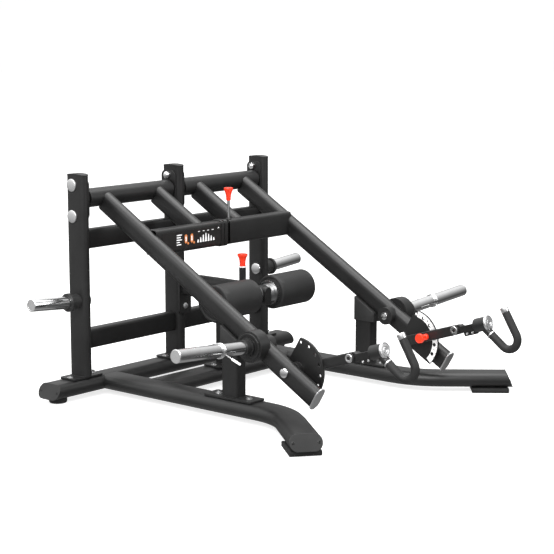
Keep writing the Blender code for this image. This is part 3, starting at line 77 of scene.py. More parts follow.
# A node tree with the few kinds of node that the finishes share
class Finish:
    def __init__(self, name, tree=None):
        self.material = None
        if tree is None:
            self.material = bpy.data.materials.new(name)
            self.material.use_nodes = True
            tree = self.material.node_tree
        self.tree = tree
        self.tree.nodes.clear()

    def node(self, kind, settings=None, inputs=None, output=0):
        made = self.tree.nodes.new(kind)
        for key, value in (settings or {}).items():
            setattr(made, key, value)
        for key, value in (inputs or {}).items():
            if isinstance(value, Wire):
                self.tree.links.new(value.socket, made.inputs[key])
            else:
                made.inputs[key].default_value = value
        return Wire(self, made.outputs[output])

    def place(self, stretch=(1.0, 1.0, 1.0)):
        spot = self.node("ShaderNodeTexCoord", output="Object")
        if stretch == (1.0, 1.0, 1.0):
            return spot
        return self.node("ShaderNodeVectorMath", {"operation": "MULTIPLY"}, {0: spot, 1: stretch})

    def noise(self, spot, scale, detail=3.0, roughness=0.55):
        inputs = {"Vector": spot, "Scale": scale, "Detail": detail, "Roughness": roughness}
        return self.node("ShaderNodeTexNoise", {}, inputs)

    def cells(self, spot, scale):
        return self.node("ShaderNodeTexVoronoi", {"feature": "F1"}, {"Vector": spot, "Scale": scale})

    def spread(self, value, low, high, toLow=0.0, toHigh=1.0):
        inputs = {"Value": value, "From Min": low, "From Max": high, "To Min": toLow, "To Max": toHigh}
        return self.node("ShaderNodeMapRange", {"clamp": True}, inputs)

    def mix(self, factor, first, second):
        inputs = {0: factor, 6: first, 7: second}
        return self.node("ShaderNodeMix", {"data_type": "RGBA"}, inputs, 2)

    def softened(self, radius):
        return self.node("ShaderNodeBevel", {"samples": 4}, {"Radius": radius})

    # Where an edge or corner stands out from the face beside it
    def edges(self, radius):
        rounded = self.softened(radius)
        flat = self.node("ShaderNodeNewGeometry", output="Normal")
        same = self.node(
            "ShaderNodeVectorMath", {"operation": "DOT_PRODUCT"}, {0: rounded, 1: flat}, "Value"
        )
        return rounded, 1.0 - same

    def bump(self, height, strength, distance, normal=None):
        inputs = {"Height": height, "Strength": strength, "Distance": distance}
        if normal:
            inputs["Normal"] = normal
        return self.node("ShaderNodeBump", {}, inputs)

    def shade(self, **sockets):
        inputs = {key.replace("_", " "): value for key, value in sockets.items()}
        surface = self.node("ShaderNodeBsdfPrincipled", {}, inputs)
        end = self.tree.nodes.new("ShaderNodeOutputMaterial")
        self.tree.links.new(surface.socket, end.inputs["Surface"])
        return self.material


def grey(value, warm=0.0):
    return (value * (1 + warm), value, value * (1 - warm), 1.0)


# Satin powder coat: fine orange peel, faint clouding, dust specks, rubbed edges
coatLooks = {
    "black": dict(tone=0.0098, rubbed=0.045, rough=0.40, grain=900.0, depth=0.00010),
    "dark": dict(tone=0.0060, rubbed=0.030, rough=0.44, grain=900.0, depth=0.00010),
}


def powderCoat(name, look):
    finish = Finish(name)
    spot = finish.place()
    peel = finish.noise(spot, look["grain"], 2.0)
    cloud = finish.noise(spot, 5.0, 4.0)
    specks = finish.noise(spot, 420.0, 1.0).above(0.735)
    rounded, edge = finish.edges(0.0020)
    rub = finish.spread(edge * finish.noise(spot, 60.0, 3.0), 0.02, 0.16)
    tone = finish.mix(
        finish.spread(cloud, 0.3, 0.7), grey(look["tone"] * 0.82), grey(look["tone"] * 1.2)
    )
    tone = finish.mix(specks * 0.35, tone, grey(0.06))
    tone = finish.mix(rub * 0.6, tone, grey(look["rubbed"]))
    rough = finish.spread(cloud, 0.25, 0.75, look["rough"] - 0.06, look["rough"] + 0.07) - rub * 0.08
    normal = finish.bump(peel, 0.32, look["depth"], rounded)
    return finish.shade(Base_Color=tone, Roughness=rough, Normal=normal, Specular_IOR_Level=0.5)


# Bright plate: faint drawing lines, smudges, a little wear
chromeLooks = {
    "chrome": dict(tone=0.93, rough=0.06, smudge=0.10, stretch=(1.0, 1.0, 1.0)),
    "horn": dict(tone=0.94, rough=0.07, smudge=0.10, stretch=(14.0, 1.0, 1.0)),
    "satin": dict(tone=0.88, rough=0.24, smudge=0.12, stretch=(1.0, 1.0, 1.0)),
    "cap": dict(tone=0.90, rough=0.36, smudge=0.12, stretch=(1.0, 1.0, 1.0)),
    "hub": dict(tone=0.34, rough=0.30, smudge=0.14, stretch=(1.0, 1.0, 1.0)),
}


def brightPlate(name, look):
    finish = Finish(name)
    spot = finish.place(look["stretch"])
    smudge = finish.noise(finish.place(), 24.0, 5.0, 0.65)
    hair = finish.noise(spot, 260.0, 2.0)
    pits = finish.cells(spot, 300.0)
    tone = finish.mix(
        finish.spread(smudge, 0.35, 0.7), grey(look["tone"], -0.006), grey(look["tone"] * 0.90)
    )
    rough = finish.spread(smudge, 0.35, 0.75, look["rough"], look["rough"] + look["smudge"])
    rough = rough + hair * 0.05
    softEdge = finish.softened(0.0008)
    normal = finish.bump(hair * 0.6 + pits * 0.1, 0.06, 0.0001, softEdge)
    return finish.shade(Base_Color=tone, Roughness=rough, Metallic=1.0, Normal=normal)


# Moulded plastic, rubber and foam share one recipe with another grain
softLooks = {
    "plastic": dict(
        tone=0.016, vary=0.30, rough=0.46, grain=1300.0, cell=0.0, depth=0.00012, strength=0.30
    ),
    "rubber": dict(
        tone=0.010, vary=0.40, rough=0.66, grain=700.0, cell=0.0, depth=0.00025, strength=0.45
    ),
    "foam": dict(
        tone=0.0105, vary=0.35, rough=0.58, grain=620.0, cell=380.0, depth=0.00035, strength=0.50
    ),
    "sleeve": dict(
        tone=0.0095, vary=0.35, rough=0.60, grain=520.0, cell=520.0, depth=0.00030, strength=0.50
    ),
}


def mouldedSkin(name, look):
    finish = Finish(name)
    spot = finish.place()
    grain = finish.noise(spot, look["grain"], 3.0)
    cloud = finish.noise(spot, 9.0, 4.0)
    height = grain
    if look["cell"]:
        height = grain * 0.5 + finish.spread(finish.cells(spot, look["cell"]), 0.0, 0.7)
    low = look["tone"] * (1 - look["vary"])
    high = look["tone"] * (1 + look["vary"])
    tone = finish.mix(finish.spread(cloud, 0.3, 0.7), grey(low), grey(high))
    tone = finish.mix(finish.spread(grain, 0.62, 0.8) * 0.5, tone, grey(look["tone"] * 2.6))
    rough = finish.spread(cloud, 0.25, 0.75, look["rough"] - 0.06, look["rough"] + 0.08)
    softEdge = finish.softened(0.0012)
    normal = finish.bump(height, look["strength"], look["depth"], softEdge)
    return finish.shade(Base_Color=tone, Roughness=rough, Normal=normal, Specular_IOR_Level=0.45)


# Glossy coloured plastic and printed ink
inkLooks = {
    "red": dict(
        tone=(0.80, 0.035, 0.008, 1.0), worn=(0.58, 0.020, 0.006, 1.0), rough=0.28, grain=600.0
    ),
    "white": dict(tone=grey(0.92), worn=grey(0.76, 0.02), rough=0.36, grain=500.0),
    "orange": dict(
        tone=(0.62, 0.20, 0.055, 1.0), worn=(0.42, 0.12, 0.035, 1.0), rough=0.42, grain=500.0
    ),
    "number": dict(tone=grey(0.020), worn=grey(0.045), rough=0.45, grain=500.0),
    "card": dict(tone=(0.0125, 0.0110, 0.0105, 1.0), worn=grey(0.022), rough=0.34, grain=700.0),
}


def glossyInk(name, look):
    finish = Finish(name)
    spot = finish.place()
    grain = finish.noise(spot, look["grain"], 2.0)
    scuff = finish.spread(finish.noise(spot, 55.0, 5.0, 0.7), 0.52, 0.74)
    tone = finish.mix(scuff * 0.6, look["tone"], look["worn"])
    rough = scuff * 0.18 + grain * 0.06 + (look["rough"] - 0.03)
    softEdge = finish.softened(0.0008)
    normal = finish.bump(grain, 0.12, 0.0001, softEdge)
    return finish.shade(Base_Color=tone, Roughness=rough, Normal=normal, Specular_IOR_Level=0.5)


blackCoat = powderCoat("satin black coat", coatLooks["black"])
darkCoat = powderCoat("dark black coat", coatLooks["dark"])
chrome = brightPlate("chrome", chromeLooks["chrome"])
hornChrome = brightPlate("horn chrome", chromeLooks["horn"])
satinSteel = brightPlate("satin steel", chromeLooks["satin"])
capSteel = brightPlate("cap steel", chromeLooks["cap"])
hubSteel = brightPlate("hub steel", chromeLooks["hub"])
plastic = mouldedSkin("moulded plastic", softLooks["plastic"])
rubber = mouldedSkin("rubber", softLooks["rubber"])
foam = mouldedSkin("roller foam", softLooks["foam"])
sleeveFoam = mouldedSkin("grip foam", softLooks["sleeve"])
redKnob = glossyInk("red knob", inkLooks["red"])
whiteInk = glossyInk("white print", inkLooks["white"])
orangeInk = glossyInk("orange print", inkLooks["orange"])
# The dark number ink also serves as painted shade in the hex sockets of the yoke caps
numberInkAndSocketShade = glossyInk("number print and socket shade", inkLooks["number"])
cardFace = glossyInk("card face", inkLooks["card"])
print("finishes made")

slotFinishes = {
    "black_powder_coat": blackCoat,
    "dark_powder_coat": darkCoat,
    "black_plastic": plastic,
    "black_rubber": rubber,
    "black_foam": foam,
    "chrome_plate": chrome,
    "red_plastic": redKnob,
    "placard_face": cardFace,
}
nodeFinishes = {
    "left_weight_horn": hornChrome,
    "right_weight_horn": hornChrome,
    "left_arm_cap": capSteel,
    "right_arm_cap": capSteel,
    "left_yoke": darkCoat,
    "right_yoke": darkCoat,
}
creaseAngle = 35.0

for name, item in nodes.items():
    mesh = item.data
    if "custom_normal" in mesh.attributes:
        mesh.attributes.remove(mesh.attributes["custom_normal"])
    mesh.polygons.foreach_set("use_smooth", [True] * len(mesh.polygons))
    for index, material in enumerate(mesh.materials):
        slot = material.name.split(".")[0]
        mesh.materials[index] = nodeFinishes.get(name, slotFinishes.get(slot, blackCoat))
    weld = item.modifiers.new("weld", "WELD")
    weld.merge_threshold = 0.00002
    crease = item.modifiers.new("crease", "EDGE_SPLIT")
    crease.split_angle = math.radians(creaseAngle)
print("frame dressed")


# Shapes. A profile is a list of (radius, height), with a third number where the finish changes.
def turned(profile, steps=56):
    shape = bmesh.new()
    rings = []
    for row in profile:
        radius, height = row[:2]
        if radius < 1e-6:
            rings.append([shape.verts.new((0.0, 0.0, height))])
            continue
        turns = [fullTurn * k / steps for k in range(steps)]
        rings.append(
            [shape.verts.new((radius * math.cos(t), radius * math.sin(t), height)) for t in turns]
        )
    band = 0
    for row, low, high in zip(profile, rings, rings[1:]):
        band = row[2] if len(row) > 2 else band
        for k in range(steps):
            after = (k + 1) % steps
            corners = [
                low[k % len(low)], low[after % len(low)], high[after % len(high)], high[k % len(high)]
            ]
            face = shape.faces.new(list(dict.fromkeys(corners)))
            face.material_index = band
    mesh = bpy.data.meshes.new("turned")
    shape.to_mesh(mesh)
    shape.free()
    return mesh


# A round bar along a path; ends are rounded off over a few points
def swept(path, radius, steps=16, tip=0.0):
    radii = [radius] * len(path)
    points = list(path)
    if tip:
        for end in (0, -1):
            inner = points[1] if end == 0 else points[-2]
            way = (points[end] - inner).normalized()
            place = points[end]
            radii[end] = radius * 0.72
            spot = 1 if end == 0 else len(points) - 1
            points.insert(spot, place - way * tip)
            radii.insert(spot, radius)
    shape = bmesh.new()
    rings = []
    way = (points[1] - points[0]).normalized()
    aside = way.orthogonal().normalized()
    for index, point in enumerate(points):
        before = points[max(index - 1, 0)]
        after = points[min(index + 1, len(points) - 1)]
        heading = (after - before).normalized()
        aside = (aside - heading * aside.dot(heading)).normalized()
        across = heading.cross(aside)
        ring = []
        for k in range(steps):
            turn = fullTurn * k / steps
            offset = (aside * math.cos(turn) + across * math.sin(turn)) * radii[index]
            ring.append(shape.verts.new(point + offset))
        rings.append(ring)
    for low, high in zip(rings, rings[1:]):
        for k in range(steps):
            after = (k + 1) % steps
            shape.faces.new((low[k], low[after], high[after], high[k]))
    shape.faces.new(list(reversed(rings[0])))
    shape.faces.new(rings[-1])
    mesh = bpy.data.meshes.new("swept")
    shape.to_mesh(mesh)
    shape.free()
    return mesh


def meshOfCurve(curve):
    item = bpy.data.objects.new("outline", curve)
    scene.collection.objects.link(item)
    bpy.context.view_layer.update()
    mesh = bpy.data.meshes.new_from_object(item.evaluated_get(bpy.context.evaluated_depsgraph_get()))
    bpy.data.objects.remove(item)
    bpy.data.curves.remove(curve)
    return mesh


# A flat plate with the given outlines, inner ones as holes, centred on z = 0
def outlined(loops, thickness, edge=0.0):
    curve = bpy.data.curves.new("outline", "CURVE")
    curve.dimensions = "2D"
    curve.fill_mode = "BOTH"
    curve.extrude = thickness / 2 - edge
    curve.bevel_depth = edge
    curve.bevel_resolution = 2
    curve.offset = -edge
    for loop in loops:
        spline = curve.splines.new("POLY")
        spline.points.add(len(loop) - 1)
        for point, (x, y) in zip(spline.points, loop):
            point.co = (x, y, 0.0, 1.0)
        spline.use_cyclic_u = True
    return meshOfCurve(curve)


def numeral(text, size, thickness):
    curve = bpy.data.curves.new("numeral", "FONT")
    curve.body = text
    curve.size = size
    curve.extrude = thickness / 2
    curve.align_x = "CENTER"
    curve.align_y = "CENTER"
    curve.resolution_u = 4
    return meshOfCurve(curve)


def circle(radius, steps=40, middle=(0.0, 0.0)):
    turns = [fullTurn * k / steps for k in range(steps)]
    return [(middle[0] + radius * math.cos(t), middle[1] + radius * math.sin(t)) for t in turns]


def rounded(width, height, radius, middle=(0.0, 0.0), steps=6):
    points = []
    for index, (signX, signY) in enumerate(((1, 1), (-1, 1), (-1, -1), (1, -1))):
        x = middle[0] + signX * (width / 2 - radius)
        y = middle[1] + signY * (height / 2 - radius)
        for step in range(steps + 1):
            turn = quarterTurn * (index + step / steps)
            points.append((x + radius * math.cos(turn), y + radius * math.sin(turn)))
    return points


# Moves a shape to a spot, with its own z axis along the way given
def aimed(spot, way, turn=0.0):
    facing = Vector(way).to_track_quat("Z", "Y").to_matrix().to_4x4()
    return Matrix.Translation(spot) @ facing @ Matrix.Rotation(turn, 4, "Z")


def gather(name, body, parts, finishes, stands=(), sharp=35.0):
    shape = bmesh.new()
    for mesh, matrix, band in parts:
        copy = mesh.copy()
        if band is not None:
            copy.polygons.foreach_set("material_index", [band] * len(copy.polygons))
        copy.transform(matrix)
        shape.from_mesh(copy)
        bpy.data.meshes.remove(copy)
    bmesh.ops.recalc_face_normals(shape, faces=shape.faces)
    result = bpy.data.meshes.new(name)
    shape.to_mesh(result)
    shape.free()
    for finish in finishes:
        result.materials.append(finish)
    result.shade_smooth()
    result.set_sharp_from_angle(angle=math.radians(sharp))
    piece = bpy.data.objects.new(name, result)
    scene.collection.objects.link(piece)
    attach(piece, body)
    if stands:
        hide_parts(*stands)
    return piece


# Hexagon head on its washer, and a round nut with a stud end
boltLook = dict(head=0.0085, headHeight=0.0064, washer=0.0125, washerHeight=0.0020, chamfer=0.0012)


def hexHead(look):
    washer = look["washerHeight"]
    top = washer + look["headHeight"]
    cut = look["chamfer"]
    disc = turned([
        (0.0, 0.0), (look["washer"], 0.0), (look["washer"], washer * 0.7),
        (look["washer"] - 0.0006, washer), (0.0, washer),
    ], 36)
    head = turned([
        (0.0, washer), (look["head"] * 1.1, washer), (look["head"] * 1.1, top - cut * 0.5),
        (look["head"] * 1.1 - cut, top), (0.0, top),
    ], 6)
    return disc, head


baseBolts = dict(
    height=0.0880,
    spots=(
        (-0.605, 0.7203), (-0.483, 0.7203), (0.605, 0.7203), (0.483, 0.7203), (-0.061, 0.7203),
        (0.061, 0.7203),
        (-0.061, 0.4423), (0.061, 0.4423), (-0.415, 0.0923), (-0.415, -0.0617), (0.415, 0.0923),
        (0.415, -0.0617),
    ),
)
washerMesh, headMesh = hexHead(boltLook)
parts = []
for number, (x, y) in enumerate(baseBolts["spots"]):
    matrix = aimed((x, y, baseBolts["height"]), (0, 0, 1), 0.4 * number)
    parts += [(washerMesh, matrix, 0), (headMesh, matrix, 0)]
gather("base_bolts", "frame", parts, [satinSteel])

# Chrome domes, nuts and bolts of the shaft flanges
flangeBolts = dict(y=0.7303, heights=(0.854, 0.730), outerX=0.5663, innerX=0.5152, middleX=0.0283)
domeMesh = turned([
    (0.0, -0.001), (0.0245, -0.001), (0.0252, 0.0004), (0.0252, 0.0042), (0.0240, 0.0058),
    (0.0200, 0.0070), (0.0130, 0.0078), (0.0060, 0.0081), (0.0, 0.0082),
])
nutMesh = turned(
    [(0.0, -0.0005), (0.0152, -0.0005), (0.0152, 0.0104), (0.0142, 0.0114), (0.0, 0.0114)], 6
)
nutWasher = turned(
    [(0.0, -0.001), (0.0175, -0.001), (0.0175, 0.0012), (0.0168, 0.0018), (0.0, 0.0018)], 40
)
studMesh = turned([(0.0, 0.0), (0.0062, 0.0), (0.0062, 0.0150), (0.0052, 0.0162), (0.0, 0.0162)], 28)
capNut = turned([
    (0.0, 0.0), (0.0152, 0.0), (0.0152, 0.0080), (0.0130, 0.0098), (0.0120, 0.0120),
    (0.0090, 0.0140), (0.0050, 0.0150), (0.0, 0.0153),
], 36)
parts = []
for side, label in sides:
    for height in flangeBolts["heights"]:
        out = (side, 0, 0)
        back = (-side, 0, 0)
        y = flangeBolts["y"]
        parts.append((domeMesh, aimed((side * flangeBolts["outerX"], y, height), out), 2))
        inner = aimed((side * flangeBolts["innerX"], y, height), back, 0.3)
        parts += [(nutMesh, inner, 0), (nutWasher, inner, 1), (studMesh, inner, 0)]
        middle = aimed((side * flangeBolts["middleX"], y, height), out, 0.2)
        parts += [(nutWasher, middle, 1), (capNut, middle, 0)]
gather("flange_bolts", "frame", parts, [chrome, darkCoat, capSteel])
print("bolts placed")

# Storage horn: bar, plastic disc and spacer, inner washer with its chrome cap
storage = dict(
    y=0.7130, z=0.393, face=0.5668, inner=0.5212, tip=0.807, tilt=4.6, spacer=0.040, disc=0.014
)
for side, label in sides:
    tilt = math.radians(storage["tilt"])
    root = storage["face"] + storage["spacer"] + storage["disc"] - 0.001
    long = (storage["tip"] - root) / math.cos(tilt)
    hornWay = (side * math.cos(tilt), 0, math.sin(tilt))
    bar = turned([
        (0.0, -0.004), (0.025, -0.004), (0.025, long - 0.003), (0.0245, long - 0.0012),
        (0.0235, long - 0.0002),
        (0.0195, long), (0.0190, long - 0.0012), (0.0, long - 0.0012),
    ])
    front = storage["spacer"]
    back = front + storage["disc"]
    spacer = turned([
        (0.0, 0.0), (0.029, 0.0), (0.029, front - 0.002), (0.031, front), (0.0355, front),
        (0.037, front + 0.0015),
        (0.037, back - 0.002), (0.0352, back), (0.0290, back), (0.0282, back - 0.0015),
        (0.0, back - 0.0015),
    ])
    washer = turned([
        (0.0, 0.0), (0.0300, 0.0), (0.0300, 0.0030), (0.0290, 0.0040), (0.0, 0.0040),
    ])
    cap = turned([
        (0.0, 0.0030), (0.0246, 0.0030), (0.0246, 0.0062), (0.0235, 0.0078), (0.0190, 0.0092),
        (0.0100, 0.0104),
        (0.0, 0.0108),
    ])
    faceSpot = (side * storage["face"], storage["y"], storage["z"])
    rootSpot = (side * root, storage["y"], storage["z"])
    innerSpot = (side * (storage["inner"]), storage["y"], storage["z"])
    shank = turned([(0.0, -0.05), (0.008, -0.05), (0.008, 0.0), (0.0, 0.0)], 24)
    parts = [
        (bar, aimed(rootSpot, hornWay), 0),
        (spacer, aimed(faceSpot, (side, 0, 0)), 1),
        (washer, aimed(innerSpot, (-side, 0, 0)), 1),
        (cap, aimed(innerSpot, (-side, 0, 0)), 2),
        (shank, aimed(innerSpot, (-side, 0, 0)), 1),
    ]
    name = "storage_horn_" + label
    gather(name + "_dressed", "frame", parts, [hornChrome, plastic, chrome], [name])

# Plastic end caps of the beams, each with two sunk screws
endCaps = dict(
    width=0.1198, height=0.0600, thickness=0.0030, edge=0.0009, screwSpread=0.0465, slope=24.0
)
capSlope = math.radians(endCaps["slope"])
capLoop = rounded(endCaps["width"], endCaps["height"], endCaps["height"] / 2, steps=14)
capLoop = [(x, y / math.cos(capSlope)) for x, y in capLoop]
capMesh = outlined([capLoop], endCaps["thickness"], endCaps["edge"])
screwMesh = turned([
    (0.0, 0.0), (0.0056, 0.0), (0.0056, 0.0007), (0.0048, 0.0013), (0.0026, 0.0014), (0.0024, -0.0002),
    (0.0, -0.0002),
], 28)
legs = dict(x=0.415, bend=0.958, angle=39.0, reach=0.380, mid=0.050, rearHalf=0.717, origin=0.7203)
parts = []
for side, label in sides:
    turn = math.radians(legs["angle"])
    way = Vector((side * math.sin(turn), -math.cos(turn), 0.0))
    tip = Vector((side * legs["x"], legs["origin"] - legs["bend"], legs["mid"])) + way * legs["reach"]
    across = way.cross(Vector((0, 0, 1)))
    rear = Vector((side * legs["rearHalf"], legs["origin"], legs["mid"]))
    for spot, heading, wide in ((tip, way, across), (rear, Vector((side, 0, 0)), Vector((0, 1, 0)))):
        facingOut = heading * math.cos(capSlope) + Vector((0.0, 0.0, math.sin(capSlope)))
        up = facingOut.cross(wide)
        basis = Matrix((wide, up, facingOut)).transposed().to_4x4()
        base = spot + facingOut * (endCaps["thickness"] / 2 - 0.0006)
        parts.append((capMesh, Matrix.Translation(base) @ basis, 0))
        for shift in (-1, 1):
            place = spot + facingOut * (endCaps["thickness"] - 0.0006) + wide * (
                shift * endCaps["screwSpread"]
            )
            parts.append((screwMesh, Matrix.Translation(place) @ basis, 1))
gather("beam_end_caps", "frame", parts, [plastic, darkCoat])

# Small bolt on the roller beam's wall plate
matrix = aimed((0.0, 0.6590, 0.303), (0, -1, 0), 0.3)
gather(
    "wall_plate_bolt", "frame", [(washerMesh, matrix, 0), (headMesh, matrix, 0)], [satinSteel],
)
print("horns, caps and plate bolt done")

# Frames of the two arms, as the CAD has them
arm = dict(axisX=0.271, y=0.7203, z=0.798, angle=30.5, arm=0.4165, hub=0.975, index=1.137)
lever = dict(x=0.3365, lean=48.1, half=0.020, yoke=0.2425, grip=0.360, hole=0.106, face=0.4418)


def armFrame(side):
    shift = Matrix.Translation((side * arm["axisX"], arm["y"], arm["z"]))
    return shift @ Matrix.Rotation(math.radians(arm["angle"]), 4, "X")


def leverFrame(side):
    shift = Matrix.Translation((side * (lever["x"] - arm["axisX"]), -arm["index"], 0.0))
    return armFrame(side) @ shift @ Matrix.Rotation(-math.radians(lever["lean"]), 4, "X")


def inFrame(base, spot, way, turn=0.0):
    return base @ aimed(spot, way, turn)


# Hub: raised ring on the drum's face, and the chrome dome on its inner boss
hub = dict(face=0.0705, rise=0.0027, bossEnd=0.0535, bossDrop=0.0045)
hubRings = turned([
    (0.0436, 0.0000), (0.0436, 0.0014), (0.0446, 0.0022), (0.0508, 0.0022), (0.0518, 0.0013),
    (0.0518, 0.0000),
    (0.0436, 0.0000),
])
hubBolt = turned([
    (0.0, -0.0002), (0.0148, -0.0002), (0.0153, 0.0010), (0.0153, 0.0046), (0.0143, 0.0063),
    (0.0110, 0.0073),
    (0.0060, 0.0078), (0.0, 0.0079),
])
hornTilt = math.radians(5.7)
hornRoot = arm["arm"] + hub["face"]
for side, label in sides:
    base = armFrame(side)
    middle = side * (arm["arm"] - arm["axisX"])
    outer = (middle + side * hub["face"], -arm["hub"], hub["rise"])
    inner = (middle - side * hub["bossEnd"], -arm["hub"], -hub["bossDrop"])
    parts = [
        (hubRings, inFrame(base, outer, (side, 0, 0)), 0),
        (hubBolt, inFrame(base, inner, (-side, 0, 0)), 1),
    ]
    gather(label + "_hub_rings", label + "_arm", parts, [blackCoat, chrome])

# Spring clip: a fine coil round the horn, and two handles in pale sleeves
clip = dict(
    radius=0.0274, wire=0.0018, pitch=0.0052, turns=2.6, handle=0.068, lean=0.20, start=-85.0, steps=48,
    sleeve=0.0042, sleeveFrom=0.40, middle={-1: 0.656, 1: 0.680},
)


def clipPath(side):
    total = int(clip["turns"] * clip["steps"])
    points = []
    for step in range(total + 1):
        turn = math.radians(clip["start"]) + fullTurn * step / clip["steps"]
        along = clip["pitch"] * (step - total / 2) / clip["steps"]
        points.append(
            Vector((-side * clip["radius"] * math.cos(turn), clip["radius"] * math.sin(turn), along))
        )
    ends = []
    for point, lean in ((points[0], -clip["lean"]), (points[-1], clip["lean"])):
        way = (Vector((point.x, point.y, 0.0)).normalized() + Vector((0.0, 0.0, lean))).normalized()
        ends.append(point + way * clip["handle"])
    return [ends[0]] + points + [ends[1]]


for side, label in sides:
    tilted = Matrix.Rotation(side * (quarterTurn - hornTilt), 4, "Y")
    root = Matrix.Translation((side * (hornRoot - arm["axisX"]), -arm["hub"], hub["rise"]))
    along = Matrix.Translation((0.0, 0.0, (clip["middle"][side] - hornRoot) / math.cos(hornTilt)))
    matrix = armFrame(side) @ root @ tilted @ along
    path = clipPath(side)
    parts = [(swept(path, clip["wire"], 10, 0.0010), matrix, 0)]
    for end, near in ((path[0], path[1]), (path[-1], path[-2])):
        handle = swept(
            [near.lerp(end, clip["sleeveFrom"]), near.lerp(end, 1.0)], clip["sleeve"], 16, 0.0012
        )
        parts.append((handle, matrix, 1))
    name = label + "_spring_clip"
    gather(name + "_wire", label + "_clip", parts, [chrome, whiteInk], [name], 60.0)

# White band with plain numbers round the holes of the index plate
band = dict(
    inner=0.0975, outer=0.1212, start=-13.5, end=108.4, step=21.75, first=-2, last=3, hole=0.0078,
    thick=0.0003
)
for side, label in sides:
    start, end = math.radians(band["start"]), math.radians(band["end"])
    turns = [start + (end - start) * k / 60 for k in range(61)]
    outline = [(band["outer"] * math.cos(t), band["outer"] * math.sin(t)) for t in turns]
    outline += [(band["inner"] * math.cos(t), band["inner"] * math.sin(t)) for t in reversed(turns)]
    loops = [outline]
    numbers = []
    for number in range(band["first"], band["last"] + 1):
        t = math.radians(lever["lean"] + number * band["step"])
        spot = (lever["hole"] * math.cos(t), lever["hole"] * math.sin(t))
        if t < end - 0.06:
            loops.append(circle(band["hole"], 28, spot))
        numbers.append(t)
    ringMesh = outlined(loops, band["thick"])
    # the plate's plane has forward as its first axis and up as its second
    forward, up = Vector((0, -1, 0)), Vector((0, 0, 1))
    normal = Vector((-side, 0, 0))
    face = 0.362 - arm["axisX"]
    base = armFrame(side) @ Matrix.Translation(
        (side * face - side * band["thick"] * 0.5, -arm["index"], 0.0)
    )
    plane = Matrix((forward, up, forward.cross(up))).transposed().to_4x4()
    parts = [(ringMesh, base @ plane, 0)]
    for count, t in enumerate(numbers[:-1]):
        middle = t + math.radians(band["step"]) / 2
        radial = forward * math.cos(middle) + up * math.sin(middle)
        wide = radial.cross(normal)
        spot = radial * 0.1095 + normal * band["thick"] * 0.8
        digit = numeral(str(count + 1), 0.0155, band["thick"])
        turnIn = Matrix((wide, radial, normal)).transposed().to_4x4()
        parts.append((digit, base @ Matrix.Translation(spot) @ turnIn, 1))
        for shift in (-0.5, 0.5):
            tick = t + shift * 0.16
            radial = forward * math.cos(tick) + up * math.sin(tick)
            wide = radial.cross(normal)
            bar = outlined([rounded(0.0011, 0.0050, 0.0004, steps=2)], band["thick"])
            turnIn = Matrix((wide, radial, normal)).transposed().to_4x4()
            spot = radial * 0.1180 + normal * band["thick"] * 0.8
            parts.append((bar, base @ Matrix.Translation(spot) @ turnIn, 1))
    gather(label + "_number_band", label + "_arm", parts, [whiteInk, numberInkAndSocketShade])
print("arms fitted")

# Lever pivot cap, yoke bolt caps with painted shade in their hex sockets, and the small screws under the yoke
pivotCap = turned([
    (0.0, 0.0), (0.0182, 0.0), (0.0186, 0.0010), (0.0186, 0.0070), (0.0172, 0.0098), (0.0130, 0.0118),
    (0.0060, 0.0126),
    (0.0, 0.0128),
])
yokeCap = turned([
    (0.0, -0.0002), (0.0162, -0.0002), (0.0165, 0.0008), (0.0165, 0.0046), (0.0150, 0.0062),
    (0.0090, 0.0067),
    (0.0074, 0.0062), (0.0070, 0.0036), (0.0, 0.0036),
])
# Dark hexagon in each yoke cap's recess: painted shade for the hollow of the hex socket, in the dark number ink
socketShadeMesh = turned([(0.0, 0.0036), (0.0045, 0.0036), (0.0045, 0.0050), (0.0, 0.0050)], 6)
lugScrew = turned([
    (0.0, -0.0002), (0.0056, -0.0002), (0.0056, 0.0020), (0.0046, 0.0031), (0.0024, 0.0033),
    (0.0021, 0.0016),
    (0.0, 0.0016),
], 24)
lug = dict(
    forward=0.3045, up=-0.0225, long=0.0560, tall=0.0200, half=0.0110, screws=(0.2925, 0.3190),
    screwUp=-0.0225
)
lugMesh = outlined([rounded(lug["long"], lug["tall"], 0.0060)], lug["half"] * 2, 0.0012)
lugPlane = Matrix(((0, 0, -1), (-1, 0, 0), (0, 1, 0))).to_4x4()
for side, label in sides:
    holder = leverFrame(side)
    matrix = inFrame(holder, (side * (lever["face"] - lever["x"]), 0, 0), (side, 0, 0))
    gather(
        label + "_lever_pivot_cap", label + "_lever", [(pivotCap, matrix, 0)], [chrome]
    )
    parts = []
    for way in (-1, 1):
        matrix = inFrame(holder, (way * (lever["half"] + 0.0003), -lever["yoke"], 0), (way, 0, 0))
        parts += [(yokeCap, matrix, 0), (socketShadeMesh, matrix, 1)]
        for forward in lug["screws"]:
            parts.append(
                (lugScrew, inFrame(holder, (way * lug["half"], -forward, lug["screwUp"]), (way, 0, 0)), 0)
            )
    parts.append(
        (lugMesh, holder @ Matrix.Translation((0.0, -lug["forward"], lug["up"])) @ lugPlane, 2)
    )
    gather(label + "_yoke_caps", label + "_yoke", parts, [chrome, numberInkAndSocketShade, darkCoat])

# Grip body: barrel with a turned chrome cap, bent stub, ring and end
gripShape = dict(
    drop=-54.2, leg=0.1247, bend=0.040, turn=158.0, rise=0.112, ring=0.055, ringLong=0.006, end=0.016
)


def gripLine(steps):
    drop = math.radians(gripShape["drop"])
    turn = math.radians(gripShape["turn"])
    bend = gripShape["bend"]
    across = gripShape["leg"] * math.cos(drop) - bend * math.sin(drop)
    up = gripShape["leg"] * math.sin(drop) + bend * math.cos(drop)
    points = []
    for step in range(steps + 1):
        angle = drop - quarterTurn + turn * step / steps
        points.append(Vector((0.0, -(across + bend * math.cos(angle)), up + bend * math.sin(angle))))
    final = drop + turn
    rise = Vector((0.0, -math.cos(final), math.sin(final)))
    return points, points[-1] + rise * gripShape["rise"], rise


